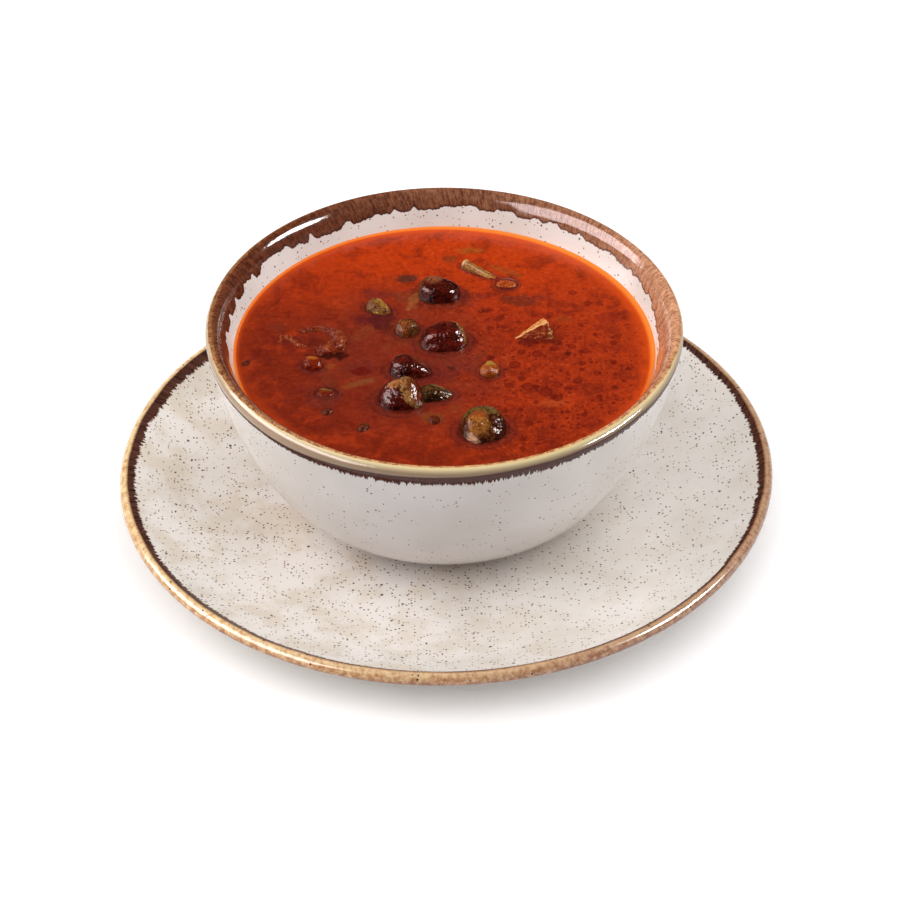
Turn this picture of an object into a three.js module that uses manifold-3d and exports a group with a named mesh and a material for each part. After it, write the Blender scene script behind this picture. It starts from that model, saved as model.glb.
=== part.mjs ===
// Bowl of okra soup on its matching underplate.
// Millimetres, +Z up. The origin is on the table, under the middle of the plate.
import * as THREE from 'three';
import { mergeVertices } from 'three/addons/utils/BufferGeometryUtils.js';
import Module from 'manifold-3d';

const wasm = await Module();
wasm.setup();
const rad = THREE.MathUtils.degToRad;

// ---- driving dimensions ----
const STEPS = 60;                 // flats round the plate, the bowl and the soup
const GAP = 0.3;                  // clearance between pieces that touch

const PLATE_RADIUS = 110.9;       // to the outside of the rim
const PLATE_OVAL = 1.6;           // the rim is pulled out and in by this much
const PLATE_OVAL_AT = 28;         // degrees from +X to the long diameter
const PLATE_RIM_HEIGHT = 17.5;    // middle of the rounded rim
const PLATE_THICKNESS = 4.8;
const WELL_RADIUS = 60;           // flat middle of the plate
const WELL_HEIGHT = 6.4;
const WELL_RISE_POWER = 1.9;      // how the coupe curves up to its rim
const PLATE_FOOT_INSIDE = 56;
const PLATE_FOOT_OUTSIDE = 61;

const BOWL_AT = [-0.8, 3.8];      // the bowl stands a little off the plate's middle
const BOWL_RADIUS = 80;
const LIP_HEIGHT = 75;            // middle of the rounded lip
const LIP_RADIUS = 2.3;
const LIP_TURN = 135;             // degrees of the lip's own round, from the outside over the top
const LIP_EASE = 9.5;             // radius of the softer round that follows it inside
const WALL_FLARE = 21.7;          // degrees that the wall above the soup leans out
const FOOT_RADIUS = 36;
const FOOT_RING_WIDTH = 4.5;
const FOOT_HEIGHT = 3.6;
const FOOT_CHAMFER = 0.6;
const WALL_SWELL = 1.213;         // the two exponents of the bowl's side
const WALL_ROUND = 2.424;
const BOWL_FLOOR_HEIGHT = 17;     // inside, above the table
const BOWL_FLOOR_RADIUS = 28;

const SOUP_DEPTH = 9.6;           // surface below the middle of the lip

const PLATE_RIM_RADIUS = PLATE_THICKNESS / 2;
const BOWL_BASE = WELL_HEIGHT + GAP;
const WALL_BASE = BOWL_BASE + FOOT_HEIGHT;
const SOUP_LEVEL = LIP_HEIGHT - SOUP_DEPTH;
const LIP_MIDDLE = BOWL_RADIUS - LIP_RADIUS;

// The softer round inside the lip: its middle, and where the straight, leaning wall takes over.
const EASE_MIDDLE = [
  LIP_MIDDLE + (LIP_RADIUS - LIP_EASE) * Math.cos(rad(LIP_TURN)),
  LIP_HEIGHT + (LIP_RADIUS - LIP_EASE) * Math.sin(rad(LIP_TURN)),
];
const FLARE_TOP = [
  EASE_MIDDLE[0] - LIP_EASE * Math.cos(rad(WALL_FLARE)),
  EASE_MIDDLE[1] + LIP_EASE * Math.sin(rad(WALL_FLARE)),
];
const SOUP_RADIUS = FLARE_TOP[0] - (FLARE_TOP[1] - SOUP_LEVEL) * Math.tan(rad(WALL_FLARE));

// ---- pieces in the soup ----
// at: place on the soup from the bowl's axis. rise: middle above the surface.
// size: length, width, height along the piece's own axes. heading, pitch, roll: degrees.
// taper: how much the far end is thinner. ribs, rib: number and depth of the pod's ribs.
// lump: unevenness. phase: start of its ribs and lumps. barrel: 2 is an ellipsoid, more is fuller.
const PODS = [
  { name: 'okra_1', at: [-1.8, 30.7], rise: 1.0, size: [13.8, 11.0, 11.2], heading: -6, pitch: -3, roll: 0,
    taper: 0.08, ribs: 5, rib: 0.05, lump: 0.05, phase: 0.6, barrel: 2.5, color: '#2b1410' },
  { name: 'okra_2', at: [-0.3, 4.0], rise: 1.0, size: [15.2, 11.6, 12.0], heading: 8, pitch: 9, roll: 20,
    taper: -0.08, ribs: 6, rib: 0.05, lump: 0.04, phase: 2.1, barrel: 2.6, color: '#3a1512' },
  { name: 'okra_3', at: [-11.1, -12.4], rise: 0.8, size: [13.5, 9.2, 9.6], heading: -8, pitch: -8, roll: 0,
    taper: 0.22, ribs: 5, rib: 0.05, lump: 0.05, phase: 1.3, barrel: 2.3, color: '#2c1310' },
  { name: 'okra_4', at: [-14.4, -27.6], rise: 1.1, size: [15.0, 13.2, 12.4], heading: 6, pitch: 6, roll: 10,
    taper: -0.12, ribs: 6, rib: 0.05, lump: 0.07, phase: 3.4, barrel: 2.5, color: '#33150f' },
  { name: 'okra_6', at: [12.9, -43.6], rise: 1.1, size: [15.8, 13.6, 13.0], heading: 14, pitch: -4, roll: 15,
    taper: 0.06, ribs: 5, rib: 0.06, lump: 0.07, phase: 4.2, barrel: 2.4, color: '#4a3316' },
  { name: 'okra_small_1', at: [-12.6, 10.4], rise: 0.7, size: [8.0, 7.6, 7.8], heading: 40, pitch: 0, roll: 0,
    taper: 0.1, ribs: 5, rib: 0.05, lump: 0.05, phase: 0.9, barrel: 2.4, color: '#52260f' },
  { name: 'okra_small_2', at: [-22.3, 22.2], rise: 0.3, size: [9.6, 5.8, 6.2], heading: -32, pitch: -14, roll: 0,
    taper: 0.16, ribs: 5, rib: 0.05, lump: 0.06, phase: 2.7, barrel: 2.2, color: '#4d3a14' },
  { name: 'okra_bud', at: [-44.0, -9.3], rise: 0.6, size: [6.9, 5.6, 6.0], heading: -10, pitch: 0, roll: 0,
    taper: 0.05, ribs: 4, rib: 0.04, lump: 0.04, phase: 1.7, barrel: 2.4, color: '#6b2b10' },
  { name: 'okra_sunk', at: [-39.2, -24.2], rise: -0.9, size: [7.4, 6.0, 4.6], heading: -6, pitch: 0, roll: 0,
    taper: 0.1, ribs: 5, rib: 0.05, lump: 0.05, phase: 3.1, barrel: 2.4, color: '#4e2212' },
  { name: 'okra_tip', at: [15.2, -12.5], rise: 0.6, size: [6.6, 6.2, 6.8], heading: 90, pitch: 12, roll: 0,
    taper: 0.18, ribs: 5, rib: 0.06, lump: 0.06, phase: 5.0, barrel: 2.3, color: '#8a5a1c' },
  { name: 'pepper_bump', at: [21.2, 36.9], rise: -0.8, size: [7.2, 5.6, 4.6], heading: 0, pitch: 0, roll: 0,
    taper: 0.0, ribs: 3, rib: 0.04, lump: 0.06, phase: 0.3, barrel: 2.6, color: '#8f3a12' },
];
// The neck lies against okra_4, and is cut to leave room for it.
const NECK = { name: 'okra_5', at: [-3.0, -25.6], rise: 0.5, size: [11.6, 6.6, 6.6], heading: 4, pitch: -3, roll: 0,
  taper: 0.34, ribs: 5, rib: 0.05, lump: 0.05, phase: 2.2, barrel: 2.3, color: '#241a10' };
const POD_SIDES = 14;
const POD_RINGS = 9;
const SMALL_SIDES = 12;
const SMALL_RINGS = 7;
const SMALL_LENGTH = 10;          // a pod shorter than this takes the smaller numbers

// Curled skins: routes on the soup from the bowl's axis, with the height above the surface and,
// at evenly spaced places along the route, the skin's half thickness.
const CURLS = [
  { name: 'curled_skin', lump: 0.08, phase: 0.4, color: '#5a2510', radii: [1.9, 2.8, 2.6, 1.7, 1.0, 1.2],
    route: [[-43.2, -1.2, 0.0], [-38.8, -0.7, 0.4], [-35.2, 2.2, 0.5], [-36.2, 7.4, 0.5], [-42.2, 11.0, 0.3],
      [-49.0, 9.6, 0.1]] },
  { name: 'folded_skin', lump: 0.1, phase: 1.9, color: '#6e3212', radii: [0.8, 1.2, 1.2, 1.0, 1.5],
    route: [[-55.8, 2.8, -0.3], [-54.8, 6.0, 0.0], [-52.4, 6.0, 0.0], [-49.6, 3.0, 0.0], [-46.9, 0.6, -0.2]] },
];
const CURL_STEPS = 13;
const CURL_SIDES = 8;
const CURL_PITCH = 1.9;           // how fast its unevenness changes, radians a step
const CURL_END = 0.7;             // its ends are this much thinner

// Stalk strip: a short ribbed stalk, one end above the soup and the other sinking into it.
const STALK = { name: 'stalk_strip', at: [12.0, 43.8], rise: 0.4, length: 13.2, radii: [1.35, 1.8], heading: -32.5,
  pitch: -9, color: '#b8903c' };

// Wedge: a cut piece with a sharp ridge that climbs from a tip at the left to a peak at the right. Its front
// leans back, and behind the ridge its top falls a little and narrows towards narrow_at.
const WEDGE = { name: 'okra_wedge', at: [23.4, 5.4], color: '#7a3a16', thickness: 5.2, bevel: 0.3, lean: 0.5,
  fall: 0.3, narrow: 0.5, narrowAt: 8.4,
  side: [[0.2, -2.2], [-0.2, 0.1], [5.2, 2.9], [11.4, 5.5], [13.2, 1.4], [13.0, -2.2]] };

// Small bits that show on the surface, part of the soup: place, rise, width, depth and height.
const BITS = [
  { at: [-38.5, -34.5], rise: 0.2, size: [3.8, 3.4, 3.2] },
  { at: [-26.4, -43.0], rise: 0.3, size: [4.6, 3.6, 3.2] },
  { at: [-66.2, -8.0], rise: -0.2, size: [4.8, 3.0, 2.8] },
  { at: [-3.3, -39.0], rise: 0.2, size: [4.6, 3.8, 3.6] },
];
const BIT_SIDES = 8;
const BIT_RINGS = 5;

// A piece's room in the soup is this much larger all round, so that it is GAP away after its flats.
const ROOM = 1.2 * GAP;
const NECK_ROOM = 1.5 * GAP;
const WEDGE_ROOM = 2.5 * GAP;     // it narrows, and its room with it

// ---- solids ----
// A closed geometry as a solid: shared corners are merged and flat slivers at the poles dropped.
function toSolid(geometry) {
  const bare = geometry.clone();
  bare.deleteAttribute('normal');
  bare.deleteAttribute('uv');
  const merged = mergeVertices(bare, 1e-4);
  const corners = merged.index.array;
  const triVerts = [];
  for (let i = 0; i < corners.length; i += 3) {
    const [a, b, c] = corners.slice(i, i + 3);
    if (a !== b && b !== c && c !== a) triVerts.push(a, b, c);
  }
  const vertProperties = new Float32Array(merged.attributes.position.array);
  return new wasm.Manifold(new wasm.Mesh({ numProp: 3, vertProperties, triVerts: new Uint32Array(triVerts) }));
}

function toGeometry(solid) {
  const mesh = solid.getMesh();
  const geometry = new THREE.BufferGeometry();
  geometry.setAttribute('position', new THREE.BufferAttribute(new Float32Array(mesh.vertProperties), 3));
  geometry.setIndex(new THREE.BufferAttribute(new Uint32Array(mesh.triVerts), 1));
  geometry.computeVertexNormals();
  return geometry;
}

// A profile of radius and height, from the axis underneath to the axis on top, turned about Z.
function turned(profile) {
  const points = profile.map(([r, z]) => new THREE.Vector2(r, z));
  return new THREE.LatheGeometry(points, STEPS).rotateX(Math.PI / 2);
}

function arc(r, z, radius, from, to, count) {
  const points = [];
  for (let i = 0; i <= count; i += 1) {
    const a = rad(from + ((to - from) * i) / count);
    points.push([r + radius * Math.cos(a), z + radius * Math.sin(a)]);
  }
  return points;
}

function named(name, geometry, color, roughness) {
  const mesh = new THREE.Mesh(geometry, new THREE.MeshStandardMaterial({ color, roughness, metalness: 0 }));
  mesh.name = name;
  return mesh;
}

// ---- plate ----
const RIM_MIDDLE = PLATE_RADIUS - PLATE_RIM_RADIUS;
const COUPE_RISE = PLATE_RIM_HEIGHT + PLATE_RIM_RADIUS - WELL_HEIGHT;
const COUPE_RUN = RIM_MIDDLE - WELL_RADIUS;

function coupe(t) {
  return [WELL_RADIUS + COUPE_RUN * t, WELL_HEIGHT + COUPE_RISE * t ** WELL_RISE_POWER];
}

function coupeSlope(t) {
  return Math.atan((COUPE_RISE * WELL_RISE_POWER * t ** (WELL_RISE_POWER - 1)) / COUPE_RUN);
}

function plateGeometry() {
  const count = 6;
  const last = 0.97;              // where the top of the coupe runs into the rim's round
  const over = [];
  const under = [];
  for (let i = 0; i <= count; i += 1) {
    const t = (last * i) / count;
    const [r, z] = coupe(t);
    const slope = coupeSlope(t);
    over.unshift([r, z]);
    under.push([r + PLATE_THICKNESS * Math.sin(slope), z - PLATE_THICKNESS * Math.cos(slope)]);
  }
  const recess = WELL_HEIGHT - PLATE_THICKNESS;
  const profile = [
    [0, recess], [PLATE_FOOT_INSIDE - 1, recess], [PLATE_FOOT_INSIDE, 0], [PLATE_FOOT_OUTSIDE, 0],
    ...under.slice(1),
    ...arc(RIM_MIDDLE, PLATE_RIM_HEIGHT, PLATE_RIM_RADIUS, -50, 105, 5),
    ...over,
    [WELL_RADIUS / 2, WELL_HEIGHT], [0, WELL_HEIGHT],
  ];
  const geometry = turned(profile);
  const place = geometry.attributes.position;
  for (let i = 0; i < place.count; i += 1) {
    const x = place.getX(i);
    const y = place.getY(i);
    const r = Math.hypot(x, y);
    const pull = 1 + (PLATE_OVAL / PLATE_RADIUS) * (r / PLATE_RADIUS) ** 2
      * Math.cos(2 * (Math.atan2(y, x) - rad(PLATE_OVAL_AT)));
    place.setXY(i, x * pull, y * pull);
  }
  return geometry;
}

// ---- bowl ----
function outerRadius(z) {
  const s = (z - WALL_BASE) / (LIP_HEIGHT - WALL_BASE);
  return FOOT_RADIUS + (BOWL_RADIUS - FOOT_RADIUS) * (1 - (1 - s) ** WALL_SWELL) ** (1 / WALL_ROUND);
}

// Below the soup's surface the inside follows the outside.
function innerRadius(z) {
  const s = (z - BOWL_FLOOR_HEIGHT) / (SOUP_LEVEL - BOWL_FLOOR_HEIGHT);
  return BOWL_FLOOR_RADIUS
    + (SOUP_RADIUS - BOWL_FLOOR_RADIUS) * (1 - (1 - s) ** WALL_SWELL) ** (1 / WALL_ROUND);
}

// Heights from low to high, closer together near the bottom where the wall turns.
function heights(low, high, count) {
  return Array.from({ length: count + 1 }, (_, i) => low + (high - low) * (i / count) ** 2);
}

const INNER_STEPS = 9;

function bowlGeometry() {
  const outside = heights(WALL_BASE, LIP_HEIGHT, 11).slice(0, -1).map((z) => [outerRadius(z), z]);
  const inside = heights(BOWL_FLOOR_HEIGHT, SOUP_LEVEL, INNER_STEPS).map((z) => [innerRadius(z), z]);
  const underside = WALL_BASE - 1;
  const profile = [
    [0, underside], [FOOT_RADIUS - FOOT_RING_WIDTH - 1, underside],
    [FOOT_RADIUS - FOOT_RING_WIDTH, BOWL_BASE], [FOOT_RADIUS - FOOT_CHAMFER, BOWL_BASE],
    [FOOT_RADIUS, BOWL_BASE + FOOT_CHAMFER],
    ...outside,
    ...arc(LIP_MIDDLE, LIP_HEIGHT, LIP_RADIUS, 0, LIP_TURN, 5),
    ...arc(...EASE_MIDDLE, LIP_EASE, LIP_TURN, 180 - WALL_FLARE, 3).slice(1),
    ...inside.reverse(),
    [0, BOWL_FLOOR_HEIGHT],
  ];
  return turned(profile);
}

// ---- soup, filling the bowl to its level, 0.3 mm inside the wall ----
function soupGeometry() {
  const floor = BOWL_FLOOR_HEIGHT + GAP;
  const side = heights(BOWL_FLOOR_HEIGHT, SOUP_LEVEL, INNER_STEPS).slice(0, -1);
  const profile = [
    [0, floor],
    ...side.map((z) => [innerRadius(z) - GAP, z + GAP]),
    [SOUP_RADIUS - GAP, SOUP_LEVEL],
    [0, SOUP_LEVEL],
  ];
  return turned(profile);
}

// ---- pieces ----
const LUMP_ALONG = 2.3;           // how fast a pod's lumps change along it and across it
const LUMP_ACROSS = 3.1;

// A pod: a unit ball with its poles on the long axis, swollen, tapered, ribbed and made uneven.
function podGeometry(pod, grow = 0) {
  const small = pod.size[0] < SMALL_LENGTH;
  const ball = new THREE.SphereGeometry(1, small ? SMALL_SIDES : POD_SIDES, small ? SMALL_RINGS : POD_RINGS);
  const [halfLength, halfWidth, halfHeight] = pod.size.map((s) => s / 2);
  const place = ball.attributes.position;
  for (let i = 0; i < place.count; i += 1) {
    const u = THREE.MathUtils.clamp(place.getY(i), -1, 1);
    const v = place.getZ(i);
    const w = place.getX(i);
    const ring = Math.hypot(v, w);
    const phi = Math.atan2(w, v);
    const full = ring < 1e-6 ? 0 : (1 - Math.abs(u) ** pod.barrel) ** (1 / pod.barrel) / ring;
    const girth = full * (1 - pod.taper * u) * (1 + pod.rib * Math.cos(pod.ribs * phi + pod.phase))
      * (1 + pod.lump * Math.sin(LUMP_ALONG * u + pod.phase) * Math.cos(2 * phi + 2 * pod.phase));
    const bend = 1 + pod.lump * Math.sin(LUMP_ACROSS * w + pod.phase);
    place.setXYZ(i, (halfLength * bend + grow) * u, (halfWidth * girth + grow) * v, (halfHeight * girth + grow) * w);
  }
  return ball;
}

// The radius at t, 0 to 1 along a curled skin, between its given radii.
function radiusAt(curl, t) {
  const spot = t * (curl.radii.length - 1);
  const i = Math.min(Math.floor(spot), curl.radii.length - 2);
  return THREE.MathUtils.lerp(curl.radii[i], curl.radii[i + 1], spot - i);
}

// A curled skin: a tube of radius 1 along its route, then each ring is swollen to its own radius.
function curlGeometry(curl, grow = 0) {
  const middle = curl.route.map(([x, y, z]) => new THREE.Vector3(x, y, z));
  const path = new THREE.CatmullRomCurve3(middle);
  const section = new THREE.Shape();
  section.absarc(0, 0, 1, 0, 2 * Math.PI, false);
  const tube = new THREE.ExtrudeGeometry(section, {
    steps: CURL_STEPS, curveSegments: CURL_SIDES / 2, bevelEnabled: false, extrudePath: path,
  });
  const place = tube.attributes.position;
  const point = new THREE.Vector3();
  const rings = path.getSpacedPoints(CURL_STEPS);
  for (let i = 0; i < place.count; i += 1) {
    point.fromBufferAttribute(place, i);
    const step = rings.reduce((best, q, k) => (q.distanceTo(point) < rings[best].distanceTo(point) ? k : best), 0);
    const swell = 1 + curl.lump * Math.sin(CURL_PITCH * step + curl.phase);
    const end = step === 0 || step === CURL_STEPS ? CURL_END : 1;
    const radius = radiusAt(curl, step / CURL_STEPS) * swell * end + grow;
    point.sub(rings[step]).multiplyScalar(radius).add(rings[step]);
    if (step === 0) point.addScaledVector(path.getTangent(0), -grow);
    if (step === CURL_STEPS) point.addScaledVector(path.getTangent(1), grow);
    place.setXYZ(i, point.x, point.y, point.z);
  }
  return tube;
}

function stalkGeometry(grow = 0) {
  const [thin, thick] = STALK.radii;
  const stalk = new THREE.CylinderGeometry(thin + grow, thick + grow, STALK.length + 2 * grow, 10, 3);
  return stalk.rotateZ(-Math.PI / 2);
}

function wedgeGeometry(grow = 0) {
  const side = new THREE.Shape(WEDGE.side.map(([x, z]) => new THREE.Vector2(x, z)));
  const wedge = new THREE.ExtrudeGeometry(side, {
    depth: WEDGE.thickness - 2 * WEDGE.bevel, bevelSize: WEDGE.bevel + grow, bevelThickness: WEDGE.bevel + grow,
    bevelSegments: 1,
  });
  wedge.rotateX(Math.PI / 2).translate(0, WEDGE.thickness - WEDGE.bevel, 0);
  const place = wedge.attributes.position;
  for (let i = 0; i < place.count; i += 1) {
    const [x, y, z] = [place.getX(i), place.getY(i), place.getZ(i)];
    const back = THREE.MathUtils.clamp(y / WEDGE.thickness, 0, 1);
    const across = x + (WEDGE.narrowAt - x) * WEDGE.narrow * back;
    const height = Math.max(z, 0) * (1 - WEDGE.fall * back) + Math.min(z, 0);
    place.setXYZ(i, across, y + WEDGE.lean * height, height);
  }
  return wedge;
}

function placed(mesh, item) {
  mesh.position.set(item.at[0], item.at[1], item.rise ?? 0);
  mesh.rotation.set(rad(item.roll ?? 0), rad(-(item.pitch ?? 0)), rad(item.heading ?? 0), 'ZYX');
  mesh.updateMatrix();
  return mesh;
}

// ---- assembly ----
const set = new THREE.Group();
set.name = 'okra_soup';
set.add(named('plate', toGeometry(toSolid(plateGeometry())), '#e2dcd2', 0.35));

const bowlGroup = new THREE.Group();
bowlGroup.position.set(BOWL_AT[0], BOWL_AT[1], 0);
bowlGroup.add(named('bowl', toGeometry(toSolid(bowlGeometry())), '#ddd5cc', 0.3));
set.add(bowlGroup);

const contents = new THREE.Group();
contents.position.set(0, 0, SOUP_LEVEL);
bowlGroup.add(contents);

// Each piece takes its own room out of the soup, GAP larger all round.
const rooms = [];
function addPiece(item, build, room) {
  const piece = placed(named(item.name, toGeometry(build), item.color, 0.25), item);
  rooms.push(toSolid(room.applyMatrix4(piece.matrix)));
  contents.add(piece);
  return piece;
}

for (const pod of PODS) addPiece(pod, toSolid(podGeometry(pod)), podGeometry(pod, ROOM));
for (const curl of CURLS) addPiece({ ...curl, at: [0, 0] }, toSolid(curlGeometry(curl)), curlGeometry(curl, ROOM));
addPiece(STALK, toSolid(stalkGeometry()), stalkGeometry(ROOM));
addPiece(WEDGE, toSolid(wedgeGeometry()), wedgeGeometry(WEDGE_ROOM));

const body = PODS.find((pod) => pod.name === 'okra_4');
const bodyPlace = placed(new THREE.Mesh(), body).matrix;
const neckPlace = placed(new THREE.Mesh(), NECK).matrix;
const inNeck = neckPlace.clone().invert().multiply(bodyPlace);
const bodyRoom = toSolid(podGeometry(body, NECK_ROOM).applyMatrix4(inNeck));
addPiece(NECK, toSolid(podGeometry(NECK)).subtract(bodyRoom), podGeometry(NECK, ROOM));

let soup = toSolid(soupGeometry().translate(0, 0, -SOUP_LEVEL));
for (const bit of BITS) {
  const [width, depth, height] = bit.size;
  const ball = new THREE.SphereGeometry(0.5, BIT_SIDES, BIT_RINGS).scale(width, depth, height);
  soup = soup.add(toSolid(ball.translate(bit.at[0], bit.at[1], bit.rise)));
}
for (const room of rooms) soup = soup.subtract(room);
contents.add(named('soup', toGeometry(soup), '#a8330f', 0.2));

export default set;
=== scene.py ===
# %% [markdown]
# # A bowl of okra soup on its underplate
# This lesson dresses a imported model: a stoneware bowl and plate of one set, a tomato-red soup and
# the pieces of okra that lie in it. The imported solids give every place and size. Here each one gets
# a finer mesh over the same form, and a material worked out from the surface itself, with no
# pictures.

import math

import bmesh
import bpy
from mathutils import Euler, Matrix, Vector, noise


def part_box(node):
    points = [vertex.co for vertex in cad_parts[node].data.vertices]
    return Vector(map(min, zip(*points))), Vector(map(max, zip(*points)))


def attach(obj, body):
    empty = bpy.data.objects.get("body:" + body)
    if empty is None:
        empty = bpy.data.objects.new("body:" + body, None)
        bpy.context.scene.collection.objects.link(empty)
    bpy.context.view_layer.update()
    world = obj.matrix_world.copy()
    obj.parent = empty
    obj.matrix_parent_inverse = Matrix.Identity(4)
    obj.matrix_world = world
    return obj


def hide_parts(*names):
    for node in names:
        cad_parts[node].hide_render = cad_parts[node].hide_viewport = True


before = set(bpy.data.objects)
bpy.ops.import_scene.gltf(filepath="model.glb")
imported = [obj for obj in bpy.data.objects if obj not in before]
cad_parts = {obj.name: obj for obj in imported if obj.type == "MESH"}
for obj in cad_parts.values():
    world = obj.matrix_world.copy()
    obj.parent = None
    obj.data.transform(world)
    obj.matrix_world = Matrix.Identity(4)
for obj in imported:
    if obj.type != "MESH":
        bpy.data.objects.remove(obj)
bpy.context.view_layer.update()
print("nodes:", ", ".join(sorted(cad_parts)))

# %% [markdown]
# ## Sizes
# The script works in millimetres and scales each finished mesh once. The bowl's axis, radius and
# height come from the frame, and the soup's level lies a measured depth below the lip. The few
# numbers that shape the profiles are the same ones that the solids were turned from.

# %% Sizes from the frame, and the profiles' own numbers
MM = 0.001


def box_mm(node):
    low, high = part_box(node)
    return low / MM, high / MM


bowl_low, bowl_high = box_mm("bowl")
BOWL_X, BOWL_Y = ((bowl_low + bowl_high) / 2).xy
BOWL_RADIUS = (bowl_high.x - bowl_low.x) / 2
LIP_RADIUS = 2.3
LIP_HEIGHT = bowl_high.z - LIP_RADIUS
LIP_MIDDLE = BOWL_RADIUS - LIP_RADIUS
SOUP_DEPTH = 9.6
SOUP_LEVEL = LIP_HEIGHT - SOUP_DEPTH
GAP = 0.3
print(f"bowl axis {BOWL_X:.1f}, {BOWL_Y:.1f} mm, radius {BOWL_RADIUS:.1f}, soup level {SOUP_LEVEL:.1f}")

# %% [markdown]
# ## From bmesh to a finished piece
# Every piece is modelled in its own bmesh, in millimetres, in place. finish_piece scales it to
# metres, makes it a smooth-shaded object at the origin, gives it its material, hangs it on the root
# body and hides the solids that it replaces.

# %% Finish a piece
SMOOTH_ANGLE = math.radians(50)


def finish_piece(bm, name, paint, slot, *nodes):
    bmesh.ops.scale(bm, vec=(MM, MM, MM), verts=bm.verts)
    mesh = bpy.data.meshes.new(name)
    bm.to_mesh(mesh)
    bm.free()
    mesh.shade_smooth()
    mesh.set_sharp_from_angle(angle=SMOOTH_ANGLE)
    mesh.materials.append(paint.material)
    piece = bpy.data.objects.new(name, mesh)
    bpy.context.scene.collection.objects.link(piece)
    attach(piece, "root")
    if nodes:
        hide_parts(*nodes)
    print(f"{name}: {len(mesh.polygons)} faces")
    return piece


# %% [markdown]
# ## Materials as expressions
# A material is a graph of nodes. Written node by node it is long and hard to read, so two small
# classes let a pattern be written as a sum. A Wire is one socket, and its + - * / add Math nodes. A
# Paint is one material, and its node method makes any other node.

# %% Wires and paints
class Wire:
    """One output socket of a material, with arithmetic that adds Math nodes."""

    def __init__(self, paint, socket):
        self.paint = paint
        self.socket = socket

    def also(self, output):
        return Wire(self.paint, self.socket.node.outputs[output])

    def __add__(self, other):
        return self.paint.math("ADD", self, other)

    def __radd__(self, other):
        return self.paint.math("ADD", other, self)

    def __sub__(self, other):
        return self.paint.math("SUBTRACT", self, other)

    def __rsub__(self, other):
        return self.paint.math("SUBTRACT", other, self)

    def __mul__(self, other):
        return self.paint.math("MULTIPLY", self, other)

    def __rmul__(self, other):
        return self.paint.math("MULTIPLY", other, self)

    def __truediv__(self, other):
        return self.paint.math("DIVIDE", self, other)

    def rise(self, low, high):
        """0 below low, 1 above high, a smooth step between."""
        sockets = {"Value": self, "From Min": low, "From Max": high}
        return self.paint.node("MapRange", {"interpolation_type": "SMOOTHSTEP"}, sockets)


class Paint:
    """One material. node makes any node, math a Math node, and the rest are short names for common ones."""

    def __init__(self, name):
        self.material = bpy.data.materials.new(name)
        self.material.use_nodes = True
        self.tree = self.material.node_tree
        self.surface = self.tree.nodes["Principled BSDF"]

    def join(self, socket, value):
        if isinstance(value, Wire):
            self.tree.links.new(value.socket, socket)
        else:
            socket.default_value = value

    def node(self, kind, settings=None, sockets=None, out=0):
        made = self.tree.nodes.new("ShaderNode" + kind)
        for setting, value in (settings or {}).items():
            if setting == "stops":
                self.set_stops(made.color_ramp, value)
            else:
                setattr(made, setting, value)
        for key, value in (sockets or {}).items():
            self.join(made.inputs[key], value)
        return Wire(self, made.outputs[out])

    def set_stops(self, ramp, stops):
        while len(ramp.elements) < len(stops):
            ramp.elements.new(1.0)
        for element, (position, color) in zip(ramp.elements, stops):
            element.position = position
            element.color = color

    def math(self, operation, *values):
        return self.node("Math", {"operation": operation}, dict(enumerate(values)))

    def vector(self, operation, *values, out=0):
        return self.node("VectorMath", {"operation": operation}, dict(enumerate(values)), out)

    def mix(self, factor, a, b, blend="MIX"):
        return self.node("Mix", {"data_type": "RGBA", "blend_type": blend}, {0: factor, 6: a, 7: b}, 2)

    def noise(self, place, scale, detail=2.0, roughness=0.5):
        sockets = {"Vector": place, "Scale": scale, "Detail": detail, "Roughness": roughness}
        return self.node("TexNoise", None, sockets)

    def ramp(self, factor, stops):
        return self.node("ValToRGB", {"stops": stops}, {0: factor})

    def attribute(self, name, out="Fac"):
        return self.node("Attribute", {"attribute_name": name}, None, out)

    def place(self, middle=(0, 0, 0)):
        """Object coordinates in millimetres, from a middle point."""
        sockets = {
            "Vector": self.node("TexCoord", out="Object"),
            "Location": tuple(-c for c in middle),
            "Scale": (1 / MM, 1 / MM, 1 / MM),
        }
        return self.node("Mapping", None, sockets)

    def join_xyz(self, x, y, z):
        return self.node("CombineXYZ", None, {"X": x, "Y": y, "Z": z})

    def bump(self, height, distance, strength=1.0):
        sockets = {"Height": height, "Distance": distance * MM, "Strength": strength}
        return self.node("Bump", None, sockets)

    def finish(self, **inputs):
        names = {"color": "Base Color", "roughness": "Roughness", "normal": "Normal", "ior": "IOR",
                 "specular": "Specular IOR Level", "tint": "Specular Tint", "glow": "Emission Color",
                 "glow_strength": "Emission Strength"}
        for key, value in inputs.items():
            self.join(self.surface.inputs[names[key]], value)
        return self


def srgb(red, green, blue):
    """A colour as seen on a screen, 0 to 255, as the linear numbers that a shader takes."""
    def linear(c):
        c = c / 255
        return c / 12.92 if c <= 0.04045 else ((c + 0.055) / 1.055) ** 2.4
    return (linear(red), linear(green), linear(blue), 1.0)


print("shader helpers ready")

# %% [markdown]
# ## Turned pieces
# The bowl, the plate and the soup are round, as if thrown on a wheel, so each is one profile spun
# about its axis. The spin copies a vertex layer with every vertex, so the distance along the
# profile is measured once, on the profile, and every vertex of the ring carries it. The glaze's
# bands follow that distance.

# %% Spin a profile
STEPS_ROUND = 360
SLICES = 12  # one slice is spun, and then copied round, which is quicker than one full spin
WELD = 1e-4


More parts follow.
